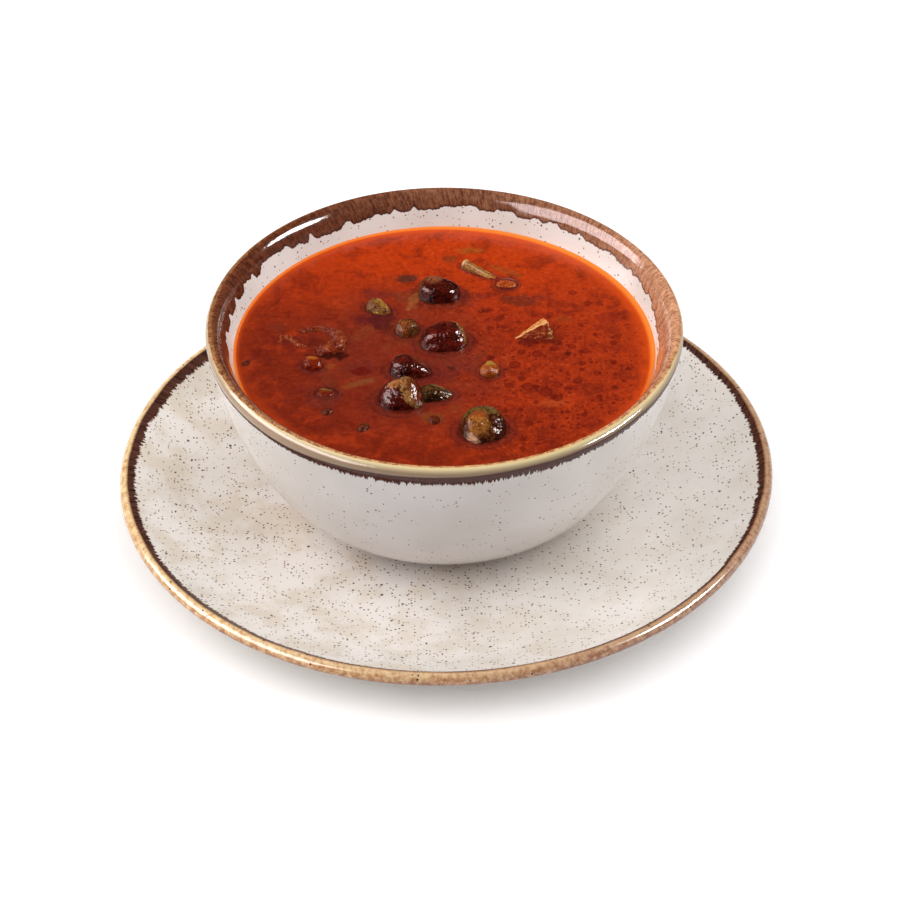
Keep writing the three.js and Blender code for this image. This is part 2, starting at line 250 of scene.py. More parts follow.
def spun(profile, layer_name, zero_at):
    """A closed body from a profile of (radius, height). Its layer holds the distance from point zero_at."""
    bm = bmesh.new()
    layer = bm.verts.layers.float.new(layer_name)
    corners = [bm.verts.new((r, 0, z)) for r, z in profile]
    edges = [bm.edges.new(pair) for pair in zip(corners, corners[1:])]
    lengths = [edge.calc_length() for edge in edges]
    zero = sum(lengths[:zero_at])
    for i, corner in enumerate(corners):
        corner[layer] = sum(lengths[:i]) - zero
    bmesh.ops.spin(bm, geom=corners + edges, cent=(0, 0, 0), axis=(0, 0, 1), dvec=(0, 0, 0),
                   angle=2 * math.pi / SLICES, steps=STEPS_ROUND // SLICES, use_duplicate=False)
    first = bm.verts[:] + bm.edges[:] + bm.faces[:]
    for index in range(1, SLICES):
        copied = bmesh.ops.duplicate(bm, geom=first)["geom"]
        turn = Matrix.Rotation(2 * math.pi * index / SLICES, 3, "Z")
        turned = [part for part in copied if isinstance(part, bmesh.types.BMVert)]
        bmesh.ops.rotate(bm, cent=(0, 0, 0), matrix=turn, verts=turned)
    bmesh.ops.remove_doubles(bm, verts=bm.verts, dist=WELD)
    bmesh.ops.recalc_face_normals(bm, faces=bm.faces)
    return bm


def arc(r, z, radius, start, stop, count):
    """Points on an arc in the profile's plane, with its angles in degrees."""
    angles = [math.radians(start + (stop - start) * i / count) for i in range(count + 1)]
    return [(r + radius * math.cos(a), z + radius * math.sin(a)) for a in angles]


def spaced(low, high, count, power=1.0):
    """count + 1 numbers from low to high. A power above 1 puts more of them near low."""
    return [low + (high - low) * (i / count) ** power for i in range(count + 1)]


print(f"a spin has {STEPS_ROUND} steps in {SLICES} slices")

# %% [markdown]
# ## The bowl's profile
# The outside swells from a narrow foot to the lip, and below the soup the inside follows it. The
# lip is round in section. Inside it eases into a straight wall that leans out, and that wall
# carries the brown band.

# %% The bowl's profile
LIP_TURN = 135
LIP_EASE = 9.5
WALL_FLARE = 21.7
FOOT_RADIUS = 36
FOOT_RING_WIDTH = 4.5
FOOT_HEIGHT = 3.6
FOOT_CHAMFER = 0.6
BOWL_BASE = bowl_low.z
WALL_BASE = BOWL_BASE + FOOT_HEIGHT
WALL_SWELL = 1.213
WALL_ROUND = 2.424
BOWL_FLOOR_HEIGHT = 17
BOWL_FLOOR_RADIUS = 28
LIP_STEPS = 18
OUTSIDE_STEPS = 44
INSIDE_STEPS = 24

EASE_MIDDLE = arc(LIP_MIDDLE, LIP_HEIGHT, LIP_RADIUS - LIP_EASE, LIP_TURN, LIP_TURN, 1)[0]
ease = arc(*EASE_MIDDLE, LIP_EASE, LIP_TURN, 180 - WALL_FLARE, 10)
SOUP_RADIUS = ease[-1][0] - (ease[-1][1] - SOUP_LEVEL) * math.tan(math.radians(WALL_FLARE))


def swell(s):
    """How far the wall has swelled, 0 to 1, at a share s of its height."""
    return (1 - (1 - s) ** WALL_SWELL) ** (1 / WALL_ROUND)


def outer_radius(z):
    s = (z - WALL_BASE) / (LIP_HEIGHT - WALL_BASE)
    return FOOT_RADIUS + (BOWL_RADIUS - FOOT_RADIUS) * swell(s)


def inner_radius(z):
    s = (z - BOWL_FLOOR_HEIGHT) / (SOUP_LEVEL - BOWL_FLOOR_HEIGHT)
    return BOWL_FLOOR_RADIUS + (SOUP_RADIUS - BOWL_FLOOR_RADIUS) * swell(s)


def bowl_profile():
    """The profile, and the number of its point at the top of the lip."""
    underside = WALL_BASE - 1
    ring_inside = FOOT_RADIUS - FOOT_RING_WIDTH
    foot = [(0, underside), (ring_inside - 1, underside), (ring_inside, BOWL_BASE),
            (FOOT_RADIUS - FOOT_CHAMFER, BOWL_BASE), (FOOT_RADIUS, BOWL_BASE + FOOT_CHAMFER)]
    outside = [(outer_radius(z), z) for z in spaced(WALL_BASE, LIP_HEIGHT, OUTSIDE_STEPS, 1.6)[:-1]]
    lip = arc(LIP_MIDDLE, LIP_HEIGHT, LIP_RADIUS, 0, LIP_TURN, LIP_STEPS)
    inside = [(inner_radius(z), z) for z in reversed(spaced(BOWL_FLOOR_HEIGHT, SOUP_LEVEL, INSIDE_STEPS, 2))]
    profile = foot + outside + lip + ease[1:] + inside + [(0, BOWL_FLOOR_HEIGHT)]
    return profile, len(foot) + len(outside) + LIP_STEPS * 90 // LIP_TURN


print(f"soup radius {SOUP_RADIUS:.2f} mm")

# %% [markdown]
# ## The stoneware glaze
# The real set is dipped in a cream glaze with iron specks, and its edge is brushed with a brown one
# that runs and breaks: cream where it thins over the lip, brown below, darkest where it stops in
# ragged tongues. The distance from the lip places the band. How far it runs differs round the bowl,
# so a few values are given by angle and blended, and noise read round the ring, on a circle so that
# it has no seam, breaks its border into tongues and teeth.

# %% Specks and clouds of the cream glaze
CREAM = srgb(230, 224, 219)
CREAM_SHADE = srgb(218, 211, 204)
SPECK_DARK = srgb(58, 42, 32)
SPECK_TAN = srgb(140, 100, 56)
# Each kind of speck: its cell in millimetres, its largest radius as a share of that, how rare, its colour.
SPECKS = [(3.6, 0.15, 0.6, SPECK_DARK), (1.3, 0.3, 0.35, SPECK_DARK), (1.05, 0.32, 0.45, SPECK_TAN)]


def cream_glaze(paint, place, density):
    """Cream with specks. density, 0 to 1, may vary over the surface."""
    cloud = paint.noise(place, 0.03, 3.0)
    cream = paint.mix(cloud.rise(0.35, 0.7), CREAM, CREAM_SHADE)
    for cell, share, rare, tint in SPECKS:
        spots = paint.node("TexVoronoi", None, {"Vector": place, "Scale": 1 / cell})
        luck = paint.node("SeparateColor", None, {"Color": spots.also("Color")})
        radius = luck.rise(1 - (1 - rare) * density, 1.0) * share
        speck = (1 - (spots - radius).rise(-0.03, 0.03)) * radius.rise(0.02, 0.05)
        cream = paint.mix(speck * 0.9, cream, tint)
    return cream


print(len(SPECKS), "kinds of speck in the cream glaze")


# %% Reading round a ring
def flat_unit(paint, place):
    return paint.vector("NORMALIZE", paint.vector("MULTIPLY", place, (1, 1, 0)))


def around(paint, unit, radius, across=0.0, twist=0.0):
    """A point on a circle of that radius. across moves it up, and twist turns it, in radians."""
    ring = paint.node("VectorRotate", {"rotation_type": "Z_AXIS"}, {"Vector": unit, "Angle": twist})
    ring = paint.vector("MULTIPLY", ring, (radius, radius, 0))
    return paint.vector("ADD", ring, paint.join_xyz(0, 0, across))


def turn_of(paint, unit):
    """The angle round the axis, 0 to 1, anticlockwise from +X."""
    parts = paint.node("SeparateXYZ", None, {"Vector": unit})
    turn = paint.math("ARCTAN2", parts.also("Y"), parts) / (2 * math.pi)
    return paint.math("FRACT", turn)


def by_angle(paint, turn, pairs):
    """Blend between values given at angles in degrees, from 0 to 360."""
    low = min(value for angle, value in pairs)
    high = max(value for angle, value in pairs)
    grey = [(value - low) / (high - low) for angle, value in pairs]
    stops = [(angle / 360, (g, g, g, 1)) for (angle, value), g in zip(pairs, grey)]
    return paint.ramp(turn, stops) * (high - low) + low


print("ring helpers ready")


# %% How the bowl's glaze changes round the lip
# Each pair is an angle in degrees, anticlockwise from the right, and a distance along the surface in mm.
BAND_REACH = [(0, 11.4), (8, 11.2), (17, 9.0), (30, 7.9), (60, 7.7), (110, 7.7), (122, 9.4), (140, 8.8),
              (165, 9.0), (180, 9.4), (200, 11.8), (215, 9.0), (320, 9.0), (345, 13.0), (360, 11.4)]
BAND_START = [(0, -2.4), (110, -2.6), (128, -1.8), (150, -1.5), (175, -1.6), (200, -1.4), (215, -1.0),
              (240, -0.5), (270, 0.0), (305, 0.1), (325, -0.2), (340, -0.8), (350, -1.4), (360, -2.4)]
NOTCH_DEPTH = [(0, 0.9), (60, 1.2), (110, 1.5), (124, 2.6), (175, 2.2), (200, 1.0), (360, 0.9)]
DARK_START = [(0, 2.8), (180, 3.6), (200, 5.4), (230, 5.6), (250, 4.5), (262, 3.9), (275, 3.4), (290, 3.0),
              (360, 2.8)]
DARK_WIDTH = [(0, 0.6), (180, 0.4), (200, 0.7), (222, 1.2), (235, 2.2), (246, 3.5), (290, 3.9), (300, 3.3),
              (315, 2.6), (330, 1.7), (345, 0.8), (360, 0.6)]
# From here the second number is a share, 0 to 1.
PALE_BROWN = [(0, 1.0), (18, 0.95), (45, 0.5), (75, 0.25), (110, 0.12), (135, 0.0), (200, 0.05), (260, 0.3),
              (330, 0.8), (360, 1.0)]
TAN_LIP = [(0, 0.4), (120, 0.25), (180, 0.3), (225, 0.5), (250, 0.8), (300, 1.0), (335, 0.7), (360, 0.4)]
BOWL_SPECKS = [(0, 0.4), (60, 0.35), (130, 0.5), (190, 0.6), (215, 0.3), (270, 0.15), (320, 0.3), (360, 0.4)]
# Painted shade: how much the outside of the bowl is greyed, most at the front.
FRONT_SHADE = [(0, 0.2), (185, 0.0), (215, 0.35), (250, 1.0), (290, 1.0), (325, 0.35), (360, 0.2)]
RING = 80  # radius in millimetres of the circle on which the noise is read
print("the band reaches", min(reach for angle, reach in BAND_REACH), "mm from the lip where it is shortest")


# %% The bowl's glaze
def bowl_paint():
    paint = Paint("stoneware_bowl")
    place = paint.place((BOWL_X, BOWL_Y, 0))
    unit = flat_unit(paint, place)
    turn = turn_of(paint, unit)
    along = paint.attribute("from_lip")
    outside = 0 - along
    ring = around(paint, unit, RING)
    slow = paint.noise(ring, 0.05, 2.0)
    lobes = paint.math("ABSOLUTE", paint.noise(ring, 0.085, 1.0) - 0.5)
    notch = 1 - lobes.rise(0.0, 0.1)
    teeth = paint.noise(ring, 0.6, 3.0, 0.75)
    reach = by_angle(paint, turn, BAND_REACH)
    inner_edge = reach + (slow - 0.5) * 1.6 - notch * by_angle(paint, turn, NOTCH_DEPTH)
    inner_edge = inner_edge + (teeth - 0.5) * 2.0
    start_in = by_angle(paint, turn, BAND_START) + (paint.noise(ring, 0.3, 3.0, 0.7) - 0.5) * 1.3
    start_out = by_angle(paint, turn, DARK_START) + (slow - 0.5) * 0.5
    width = by_angle(paint, turn, DARK_WIDTH)
    bristles = paint.noise(ring, 1.2, 3.0, 0.75)
    outer_edge = start_out + width * (0.9 + (bristles - 0.5) * 1.9 + (slow - 0.5) * 0.5)

    # Brown, paler towards the right, with brush strokes that run down the wall.
    stroke = paint.noise(around(paint, unit, RING, along * 0.16, along * 0.003), 1.3, 4.0, 0.7)
    fine = paint.noise(around(paint, unit, RING, along * 0.5, along * 0.003), 3.0, 2.0, 0.6)
    right = by_angle(paint, turn, PALE_BROWN)
    blotch = paint.noise(place, 0.45, 4.0, 0.7)
    dark_in = paint.mix(right, srgb(56, 20, 12), srgb(148, 88, 60))
    light_in = paint.mix(right, srgb(114, 60, 36), srgb(216, 164, 128))
    strokes = (stroke * 0.6 + blotch * 0.4 + (fine - 0.5) * 0.4).rise(0.36, 0.64)
    brown = paint.mix(strokes, dark_in, light_in)
    short = inner_edge - along
    outline = 1 - short.rise(0.0, 1.0 + (slow - 0.4) * 1.8)
    brown = paint.mix(outline * 0.85, brown, paint.mix(right, srgb(54, 20, 12), srgb(84, 44, 32)))
    near_lip = (1 - (along - start_in).rise(0.0, 2.2)) * fine.rise(0.4, 0.65)
    front = by_angle(paint, turn, TAN_LIP)
    brown = paint.mix(near_lip * 0.7, brown, srgb(158, 104, 62))
    border = (1 - (along - start_in).rise(0.6, 2.2)) * front
    tan = paint.mix((fine * 0.5 + blotch * 0.5).rise(0.42, 0.58), srgb(122, 62, 30), srgb(222, 168, 112))
    brown = paint.mix(border, brown, tan)

    # The lip, where the glaze thins: cream on top, tan towards the band.
    cream = paint.mix(front, srgb(240, 222, 184), srgb(200, 182, 138))
    lip_out = paint.mix(front, srgb(172, 140, 112), srgb(126, 106, 86))
    lip = paint.mix(outside.rise(0.3, 3.0), cream, lip_out)
    inward = along.rise(-0.9, 0.4) * 0.85
    lip = paint.mix(inward, lip, paint.mix(front, srgb(150, 106, 58), srgb(196, 152, 96)))
    lip = paint.mix((fine + (teeth - 0.5) * 0.5).rise(0.6, 0.72) * 0.25, lip, srgb(166, 128, 78))
    dark = paint.ramp(fine, [(0.3, srgb(22, 4, 2)), (0.7, srgb(84, 36, 22))])

    # The cream body, greyed at the front as painted shade, and then each glaze where it belongs along the
    # profile.
    body = cream_glaze(paint, place, by_angle(paint, turn, BOWL_SPECKS))
    front_shade = by_angle(paint, turn, FRONT_SHADE)
    body = paint.mix(front_shade * (0 - along).rise(2.0, 8.0), body, srgb(222, 221, 224), "MULTIPLY")
    color = paint.mix((along - inner_edge).rise(-0.05, 0.12), brown, body)
    color = paint.mix((along - start_in).rise(-0.2, 0.25), lip, color)
    color = paint.mix((outside - start_out).rise(-0.35, 0.25), color, dark)
    color = paint.mix((outside - outer_edge).rise(-0.06, 0.1), color, body)
    thick = (along - inner_edge).rise(-0.7, 0.1) * -1.0
    ripple = paint.noise(place, 0.12, 2.0) + stroke * 0.12 + thick * 0.4
    return paint.finish(color=color, roughness=0.07 + 0.06 * fine, ior=1.5, specular=0.3,
                        normal=paint.bump(ripple, 0.25, 0.5))


profile, lip_top = bowl_profile()
bowl = spun(profile, "from_lip", lip_top)
bmesh.ops.translate(bowl, vec=(BOWL_X, BOWL_Y, 0), verts=bowl.verts)
finish_piece(bowl, "stoneware_bowl", bowl_paint(), "stoneware", "bowl")

# %% [markdown]
# ## The underplate
# A coupe plate: flat in the middle, then one curve up to a rounded rim. The real one isn't quite
# round, so after the spin its vertices are pulled out along one diameter and in along the other,
# more towards the rim. Its rim is brushed tan and dark brown, and the brown laps a little way round
# to the underside, which is cream.

# %% The plate's profile and its oval
PLATE_RADIUS = 110.9
PLATE_OVAL = 1.6
PLATE_OVAL_AT = math.radians(28)
PLATE_THICKNESS = 4.8
PLATE_RIM_RADIUS = PLATE_THICKNESS / 2
PLATE_RIM_HEIGHT = 17.5
WELL_RADIUS = 60
WELL_HEIGHT = 6.4
WELL_RISE_POWER = 1.9
PLATE_FOOT_INSIDE = 56
PLATE_FOOT_OUTSIDE = 61
RIM_MIDDLE = PLATE_RADIUS - PLATE_RIM_RADIUS
COUPE_END = 0.97
COUPE_STEPS = 28
RIM_FROM, RIM_TO, RIM_STEPS = -50, 105, 24


def coupe(t):
    """The points on top and underneath at a share t of the way from the well to the rim."""
    rise = PLATE_RIM_HEIGHT + PLATE_RIM_RADIUS - WELL_HEIGHT
    run = RIM_MIDDLE - WELL_RADIUS
    slope = math.atan(rise * WELL_RISE_POWER * t ** (WELL_RISE_POWER - 1) / run)
    top = (WELL_RADIUS + run * t, WELL_HEIGHT + rise * t ** WELL_RISE_POWER)
    under = (top[0] + PLATE_THICKNESS * math.sin(slope), top[1] - PLATE_THICKNESS * math.cos(slope))
    return top, under


def plate_profile():
    """The profile, and the number of its outermost point."""
    recess = WELL_HEIGHT - PLATE_THICKNESS
    steps = [coupe(t) for t in spaced(0, COUPE_END, COUPE_STEPS)]
    under = [(0, recess), (PLATE_FOOT_INSIDE - 1, recess), (PLATE_FOOT_INSIDE, 0), (PLATE_FOOT_OUTSIDE, 0)]
    under += [low for top, low in steps[1:]]
    rim = arc(RIM_MIDDLE, PLATE_RIM_HEIGHT, PLATE_RIM_RADIUS, RIM_FROM, RIM_TO, RIM_STEPS)
    over = [top for top, low in reversed(steps)]
    over += [(r, WELL_HEIGHT) for r in reversed(spaced(0, WELL_RADIUS, 12)[:-1])]
    return under + rim + over, len(under) + len(rim) * -RIM_FROM // (RIM_TO - RIM_FROM)


def pull_oval(bm):
    for vert in bm.verts:
        r = vert.co.xy.length
        turn = math.atan2(vert.co.y, vert.co.x) - PLATE_OVAL_AT
        pull = 1 + PLATE_OVAL / PLATE_RADIUS * (r / PLATE_RADIUS) ** 2 * math.cos(2 * turn)
        vert.co.xy *= pull


print(f"plate {2 * (PLATE_RADIUS + PLATE_OVAL):.1f} by {2 * (PLATE_RADIUS - PLATE_OVAL):.1f} mm")


# %% The plate's glaze
PLATE_DARK_WIDTH = [(0, 2.8), (30, 2.5), (90, 2.8), (145, 4.4), (165, 3.9), (200, 3.3), (225, 2.9),
                    (240, 2.3), (265, 1.5), (300, 1.3), (320, 1.6), (340, 2.2), (360, 2.8)]
PLATE_GOLD = [(0, 0.0), (90, 0.5), (145, 1.0), (230, 0.9), (270, 0.4), (305, 0.1), (360, 0.0)]
PLATE_SPECKS = [(0, 0.3), (90, 0.6), (180, 1.0), (250, 0.9), (310, 0.4), (360, 0.3)]
PLATE_RING = 110
TAN_WIDTH = 3.9
BROWN_BELOW = 7.5  # how far the brown glaze reaches underneath


def plate_paint():
    paint = Paint("stoneware_plate")
    place = paint.place()
    unit = flat_unit(paint, place)
    turn = turn_of(paint, unit)
    along = paint.attribute("from_rim")
    ring = around(paint, unit, PLATE_RING)
    brush = around(paint, unit, PLATE_RING, along * 0.12, along * 0.004)
    streak = paint.noise(brush, 0.9, 3.0, 0.65)
    teeth = paint.noise(ring, 0.9, 3.0, 0.75)
    slow = paint.noise(ring, 0.05, 2.0)
    tan_edge = TAN_WIDTH + (slow - 0.5) * 1.2 + (teeth - 0.5) * 0.6
    width = by_angle(paint, turn, PLATE_DARK_WIDTH)
    dark_edge = tan_edge + width * (0.9 + (slow - 0.5) * 0.6 + (teeth - 0.5) * 1.4)

    mottle = paint.noise(place, 0.5, 4.0, 0.65)
    gold = by_angle(paint, turn, PLATE_GOLD)
    low = paint.mix(gold, srgb(128, 84, 66), srgb(184, 126, 70))
    high = paint.mix(gold, srgb(180, 142, 110), srgb(232, 204, 156))
    worn = (along * 0.3 + (mottle - 0.5) * 4.6 + (streak - 0.5) * 1.6).rise(-0.5, 1.4)
    edge = paint.mix(worn, low, high)
    edge = paint.mix((1 - (mottle + 0.12 * along).rise(0.3, 0.52)) * 0.7, edge, srgb(120, 76, 50))
    pits = paint.node("TexVoronoi", None, {"Vector": place, "Scale": 0.22})
    edge = paint.mix(1 - pits.rise(0.07, 0.11), edge, srgb(50, 30, 22))
    dark = paint.ramp(streak, [(0.3, srgb(44, 18, 12)), (0.7, srgb(96, 58, 44))])

    left = by_angle(paint, turn, PLATE_SPECKS)
    body = cream_glaze(paint, place, 0.5 + 0.55 * left)
    yellow = paint.noise(place, 0.08, 3.0).rise(0.4, 0.65) * left * 0.45
    body = paint.mix(yellow, body, srgb(222, 208, 180), "MULTIPLY")
    edge = paint.mix((along - tan_edge).rise(-0.9, 0.0) * 0.6, edge, srgb(112, 58, 30))
    color = paint.mix((along - tan_edge).rise(-0.2, 0.3), edge, dark)
    color = paint.mix((along - dark_edge).rise(-0.12, 0.15), color, body)
    color = paint.mix((0 - along - BROWN_BELOW + (slow - 0.5) * 2).rise(-0.3, 0.5), color, body)
    ripple = paint.noise(place, 0.08, 1.0)
    return paint.finish(color=color, roughness=0.14 + 0.1 * mottle, ior=1.5,
                        normal=paint.bump(ripple, 0.2, 0.4))


profile, rim_out = plate_profile()
plate = spun(profile, "from_rim", rim_out)
pull_oval(plate)
finish_piece(plate, "stoneware_plate", plate_paint(), "stoneware", "plate")

# %% [markdown]
# ## The pieces in the soup
# Soaked dried okra pods are short, ribbed barrels with a cap at one end. Each is a ball whose poles
# lie on the long axis. A formula swells it to a barrel, tapers it, ribs it and makes it uneven, as
# the solids were made, and finer noise adds the wrinkles of cooked skin. Each vertex keeps where it
# is on the pod, from -1 to 1 along and across, because the paint's cap and wrinkles follow the pod
# and not the room.

# %% The pods' places and forms
# at: place on the soup from the bowl's axis. rise: middle above the surface. size: length, width, height.
# turn: heading, pitch and roll in degrees. form: taper, rib count, rib depth, lumps, phase, barrel.
PODS = {
    "okra_1": dict(at=(-1.8, 30.7), rise=1.0, size=(13.8, 11.0, 11.2), turn=(-6, -3, 0),
                   form=(0.08, 5, 0.05, 0.05, 0.6, 2.5)),
    "okra_2": dict(at=(-0.3, 4.0), rise=1.0, size=(15.2, 11.6, 12.0), turn=(8, 9, 20),
                   form=(-0.08, 6, 0.05, 0.04, 2.1, 2.6)),
    "okra_3": dict(at=(-11.1, -12.4), rise=0.8, size=(13.5, 9.2, 9.6), turn=(-8, -8, 0),
                   form=(0.22, 5, 0.05, 0.05, 1.3, 2.3)),
    "okra_4": dict(at=(-14.4, -27.6), rise=1.1, size=(15.0, 13.2, 12.4), turn=(6, 6, 10),
                   form=(-0.12, 6, 0.05, 0.07, 3.4, 2.5)),
    "okra_5": dict(at=(-3.0, -25.6), rise=0.5, size=(11.6, 6.6, 6.6), turn=(4, -3, 0),
                   form=(0.34, 5, 0.05, 0.05, 2.2, 2.3)),
    "okra_6": dict(at=(12.9, -43.6), rise=1.1, size=(15.8, 13.6, 13.0), turn=(14, -4, 15),
                   form=(0.06, 5, 0.06, 0.07, 4.2, 2.4)),
    "okra_small_1": dict(at=(-12.6, 10.4), rise=0.7, size=(8.0, 7.6, 7.8), turn=(40, 0, 0),
                         form=(0.1, 5, 0.05, 0.05, 0.9, 2.4)),
    "okra_small_2": dict(at=(-22.3, 22.2), rise=0.3, size=(9.6, 5.8, 6.2), turn=(-32, -14, 0),
                         form=(0.16, 5, 0.05, 0.06, 2.7, 2.2)),
    "okra_bud": dict(at=(-44.0, -9.3), rise=0.6, size=(6.9, 5.6, 6.0), turn=(-10, 0, 0),
                     form=(0.05, 4, 0.04, 0.04, 1.7, 2.4)),
    "okra_sunk": dict(at=(-39.2, -24.2), rise=-0.9, size=(7.4, 6.0, 4.6), turn=(-6, 0, 0),
                      form=(0.1, 5, 0.05, 0.05, 3.1, 2.4)),
    "okra_tip": dict(at=(15.2, -12.5), rise=0.6, size=(6.6, 6.2, 6.8), turn=(90, 12, 0),
                     form=(0.18, 5, 0.06, 0.06, 5.0, 2.3)),
    "pepper_bump": dict(at=(21.2, 36.9), rise=-0.8, size=(7.2, 5.6, 4.6), turn=(0, 0, 0),
                        form=(0.0, 3, 0.04, 0.06, 0.3, 2.6)),
    "stalk_strip": dict(at=(12.0, 43.8), rise=0.4, size=(13.2, 3.15, 3.15), turn=(-32.5, -9, 0),
                        form=(0.143, 7, 0.09, 0.03, 0.0, 9.0)),
}
print(len(PODS), "pods and pieces made from a ball")


# %% Shape one pod from a ball
NEAR_POLE = 1e-5  # keeps the division off zero at the ball's poles


def soup_point(pod, local):
    """A point given along the pod, across it and up, in the room."""
    heading, pitch, roll = (math.radians(a) for a in pod["turn"])
    turned = Euler((roll, -pitch, heading)).to_matrix() @ local
    return turned + Vector((BOWL_X + pod["at"][0], BOWL_Y + pod["at"][1], SOUP_LEVEL + pod["rise"]))


def skin_folds(place):
    """The cooked skin at a place in millimetres: its height, and how deep in a fold it lies, 0 to 1."""
    dents = 0.3 * noise.noise(place / 4.0)
    patch = min(max(0.6 + 1.5 * noise.noise(place / 4.5 + Vector((7, 3, 1))), 0.15), 1)
    folds = min(2.2 * abs(noise.noise(place / 1.4)), 1)
    fine = min(2.2 * abs(noise.noise(place / 0.66 + Vector((2, 9, 4)))), 1)
    return dents - patch * (0.21 * folds + 0.15 * fine), patch * (0.55 * folds + 0.45 * fine)


def shape_pod(pod, wrinkle=1.0, rings=120, sides=160):
    """u runs along the pod, v across it and w up, each from -1 to 1."""
    bm = bmesh.new()
    layer = bm.verts.layers.float_vector.new("on_pod")
    fold_layer = bm.verts.layers.float.new("in_fold")
    bmesh.ops.create_uvsphere(bm, u_segments=sides, v_segments=rings, radius=1)
    half = [s / 2 for s in pod["size"]]
    taper, ribs, rib, lump, phase, barrel = pod["form"]
    for vert in bm.verts:
        v, w, u = vert.co
        ring = math.hypot(v, w)
        phi = math.atan2(w, v)
        full = 0 if ring < NEAR_POLE else (1 - abs(u) ** barrel) ** (1 / barrel) / ring
        girth = full * (1 - taper * u) * (1 + rib * math.cos(ribs * phi + phase))
        girth *= 1 + lump * math.sin(2.3 * u + phase) * math.cos(2 * phi + 2 * phase)
        bend = 1 + lump * math.sin(3.1 * w + phase)
        skin = Vector((half[0] * u, half[1] * v / max(ring, NEAR_POLE), half[1] * w / max(ring, NEAR_POLE)))
        height, vert[fold_layer] = skin_folds(skin + Vector((9 * phase, 0, 0)))
        girth *= 1 + wrinkle * min(1, ring * 2) * height / half[1]
        vert[layer] = (u, v, w)
        vert.co = soup_point(pod, Vector((half[0] * bend * u, half[1] * girth * v, half[2] * girth * w)))
    return bm


print("pod shaper ready")

# %% [markdown]
# ## Wet okra skin
# The skin of a soaked pod is nearly black-red, thin and wet, with khaki ridges and worn, paler
# patches. The sauce on it is what shines, so the paint is dark and smooth, and its fine creases
# break each light into many small glints. Its folds and its lower side are darkened as painted
# shade. A mark is a patch on the pod, given by its direction, spread, colour and strength. A band
# is a strip across it. Some marks are painted shade, and one is a painted highlight.

# %% The okra's paint
WET_TINT = (1, 0.86, 0.84, 1)
UNDERSIDE_SHADE = srgb(56, 9, 5)


def okra_paint(name, dark, mid, pale, marks=(), bands=(), ridge=0.3, crinkle=1.0, gloss=0.26, rough=0.04):
    paint = Paint(name)
    spot = paint.attribute("on_pod", "Vector")
    fold = paint.attribute("in_fold")
    blotch = paint.noise(spot, 1.8, 4.0, 0.6)
    vein = paint.noise(paint.vector("MULTIPLY", spot, (1.6, 3.0, 3.0)), 3.4, 4.0, 0.7)
    ragged = (blotch - 0.5) * 0.5 + (vein - 0.5) * 0.5
    color = paint.mix(blotch.rise(0.38, 0.62), dark, mid)
    # Painted shade: the pale ridges, and below them the bands and marks, give way to the dark skin in the
    # folds.
    color = paint.mix((vein - fold * 0.25).rise(0.42, 0.62) * ridge, color, pale)
    for toward, offset, width, tint, strength in bands:
        off = paint.math("ABSOLUTE", paint.vector("DOT_PRODUCT", spot, toward, out=1) - offset + ragged)
        inside = (1 - off.rise(width * 0.6, width * 1.3)) * (1 - fold.rise(0.35, 0.8) * 0.6) * strength
        color = paint.mix(inside, color, tint)
    for toward, spread, tint, strength in marks:
        away = paint.vector("DISTANCE", spot, toward, out=1) + ragged
        inside = (1 - away.rise(spread - 0.14, spread + 0.14)) * (1 - fold.rise(0.35, 0.85) * 0.6) * strength
        color = paint.mix(inside, color, tint)
    # Painted shade: the folds are darkened.
    color = paint.mix(fold.rise(0.3, 0.9) * 0.45, color, dark)
    # Painted shade: darker on the lower side, towards the soup.
    low = 0 - paint.node("SeparateXYZ", None, {"Vector": spot}).also("Z")
    color = paint.mix((low + (blotch - 0.5) * 0.6).rise(-0.15, 0.4) * 0.6, color, UNDERSIDE_SHADE)
    tiny = paint.noise(spot, 14.0, 3.0, 0.6)
    dimples = paint.noise(spot, 6.0, 1.5, 0.5)
    mottle = paint.mix((tiny * 0.6 + vein * 0.4).rise(0.4, 0.6), srgb(150, 132, 128), srgb(255, 255, 255))
    color = paint.mix(0.8, color, mottle, "MULTIPLY")
    return paint.finish(color=color, roughness=rough + 0.06 * vein, ior=1.42, specular=gloss, tint=WET_TINT,
                        normal=paint.bump(tiny * 0.2 + dimples, 0.24 * crinkle, 0.8))


print("okra paint ready")


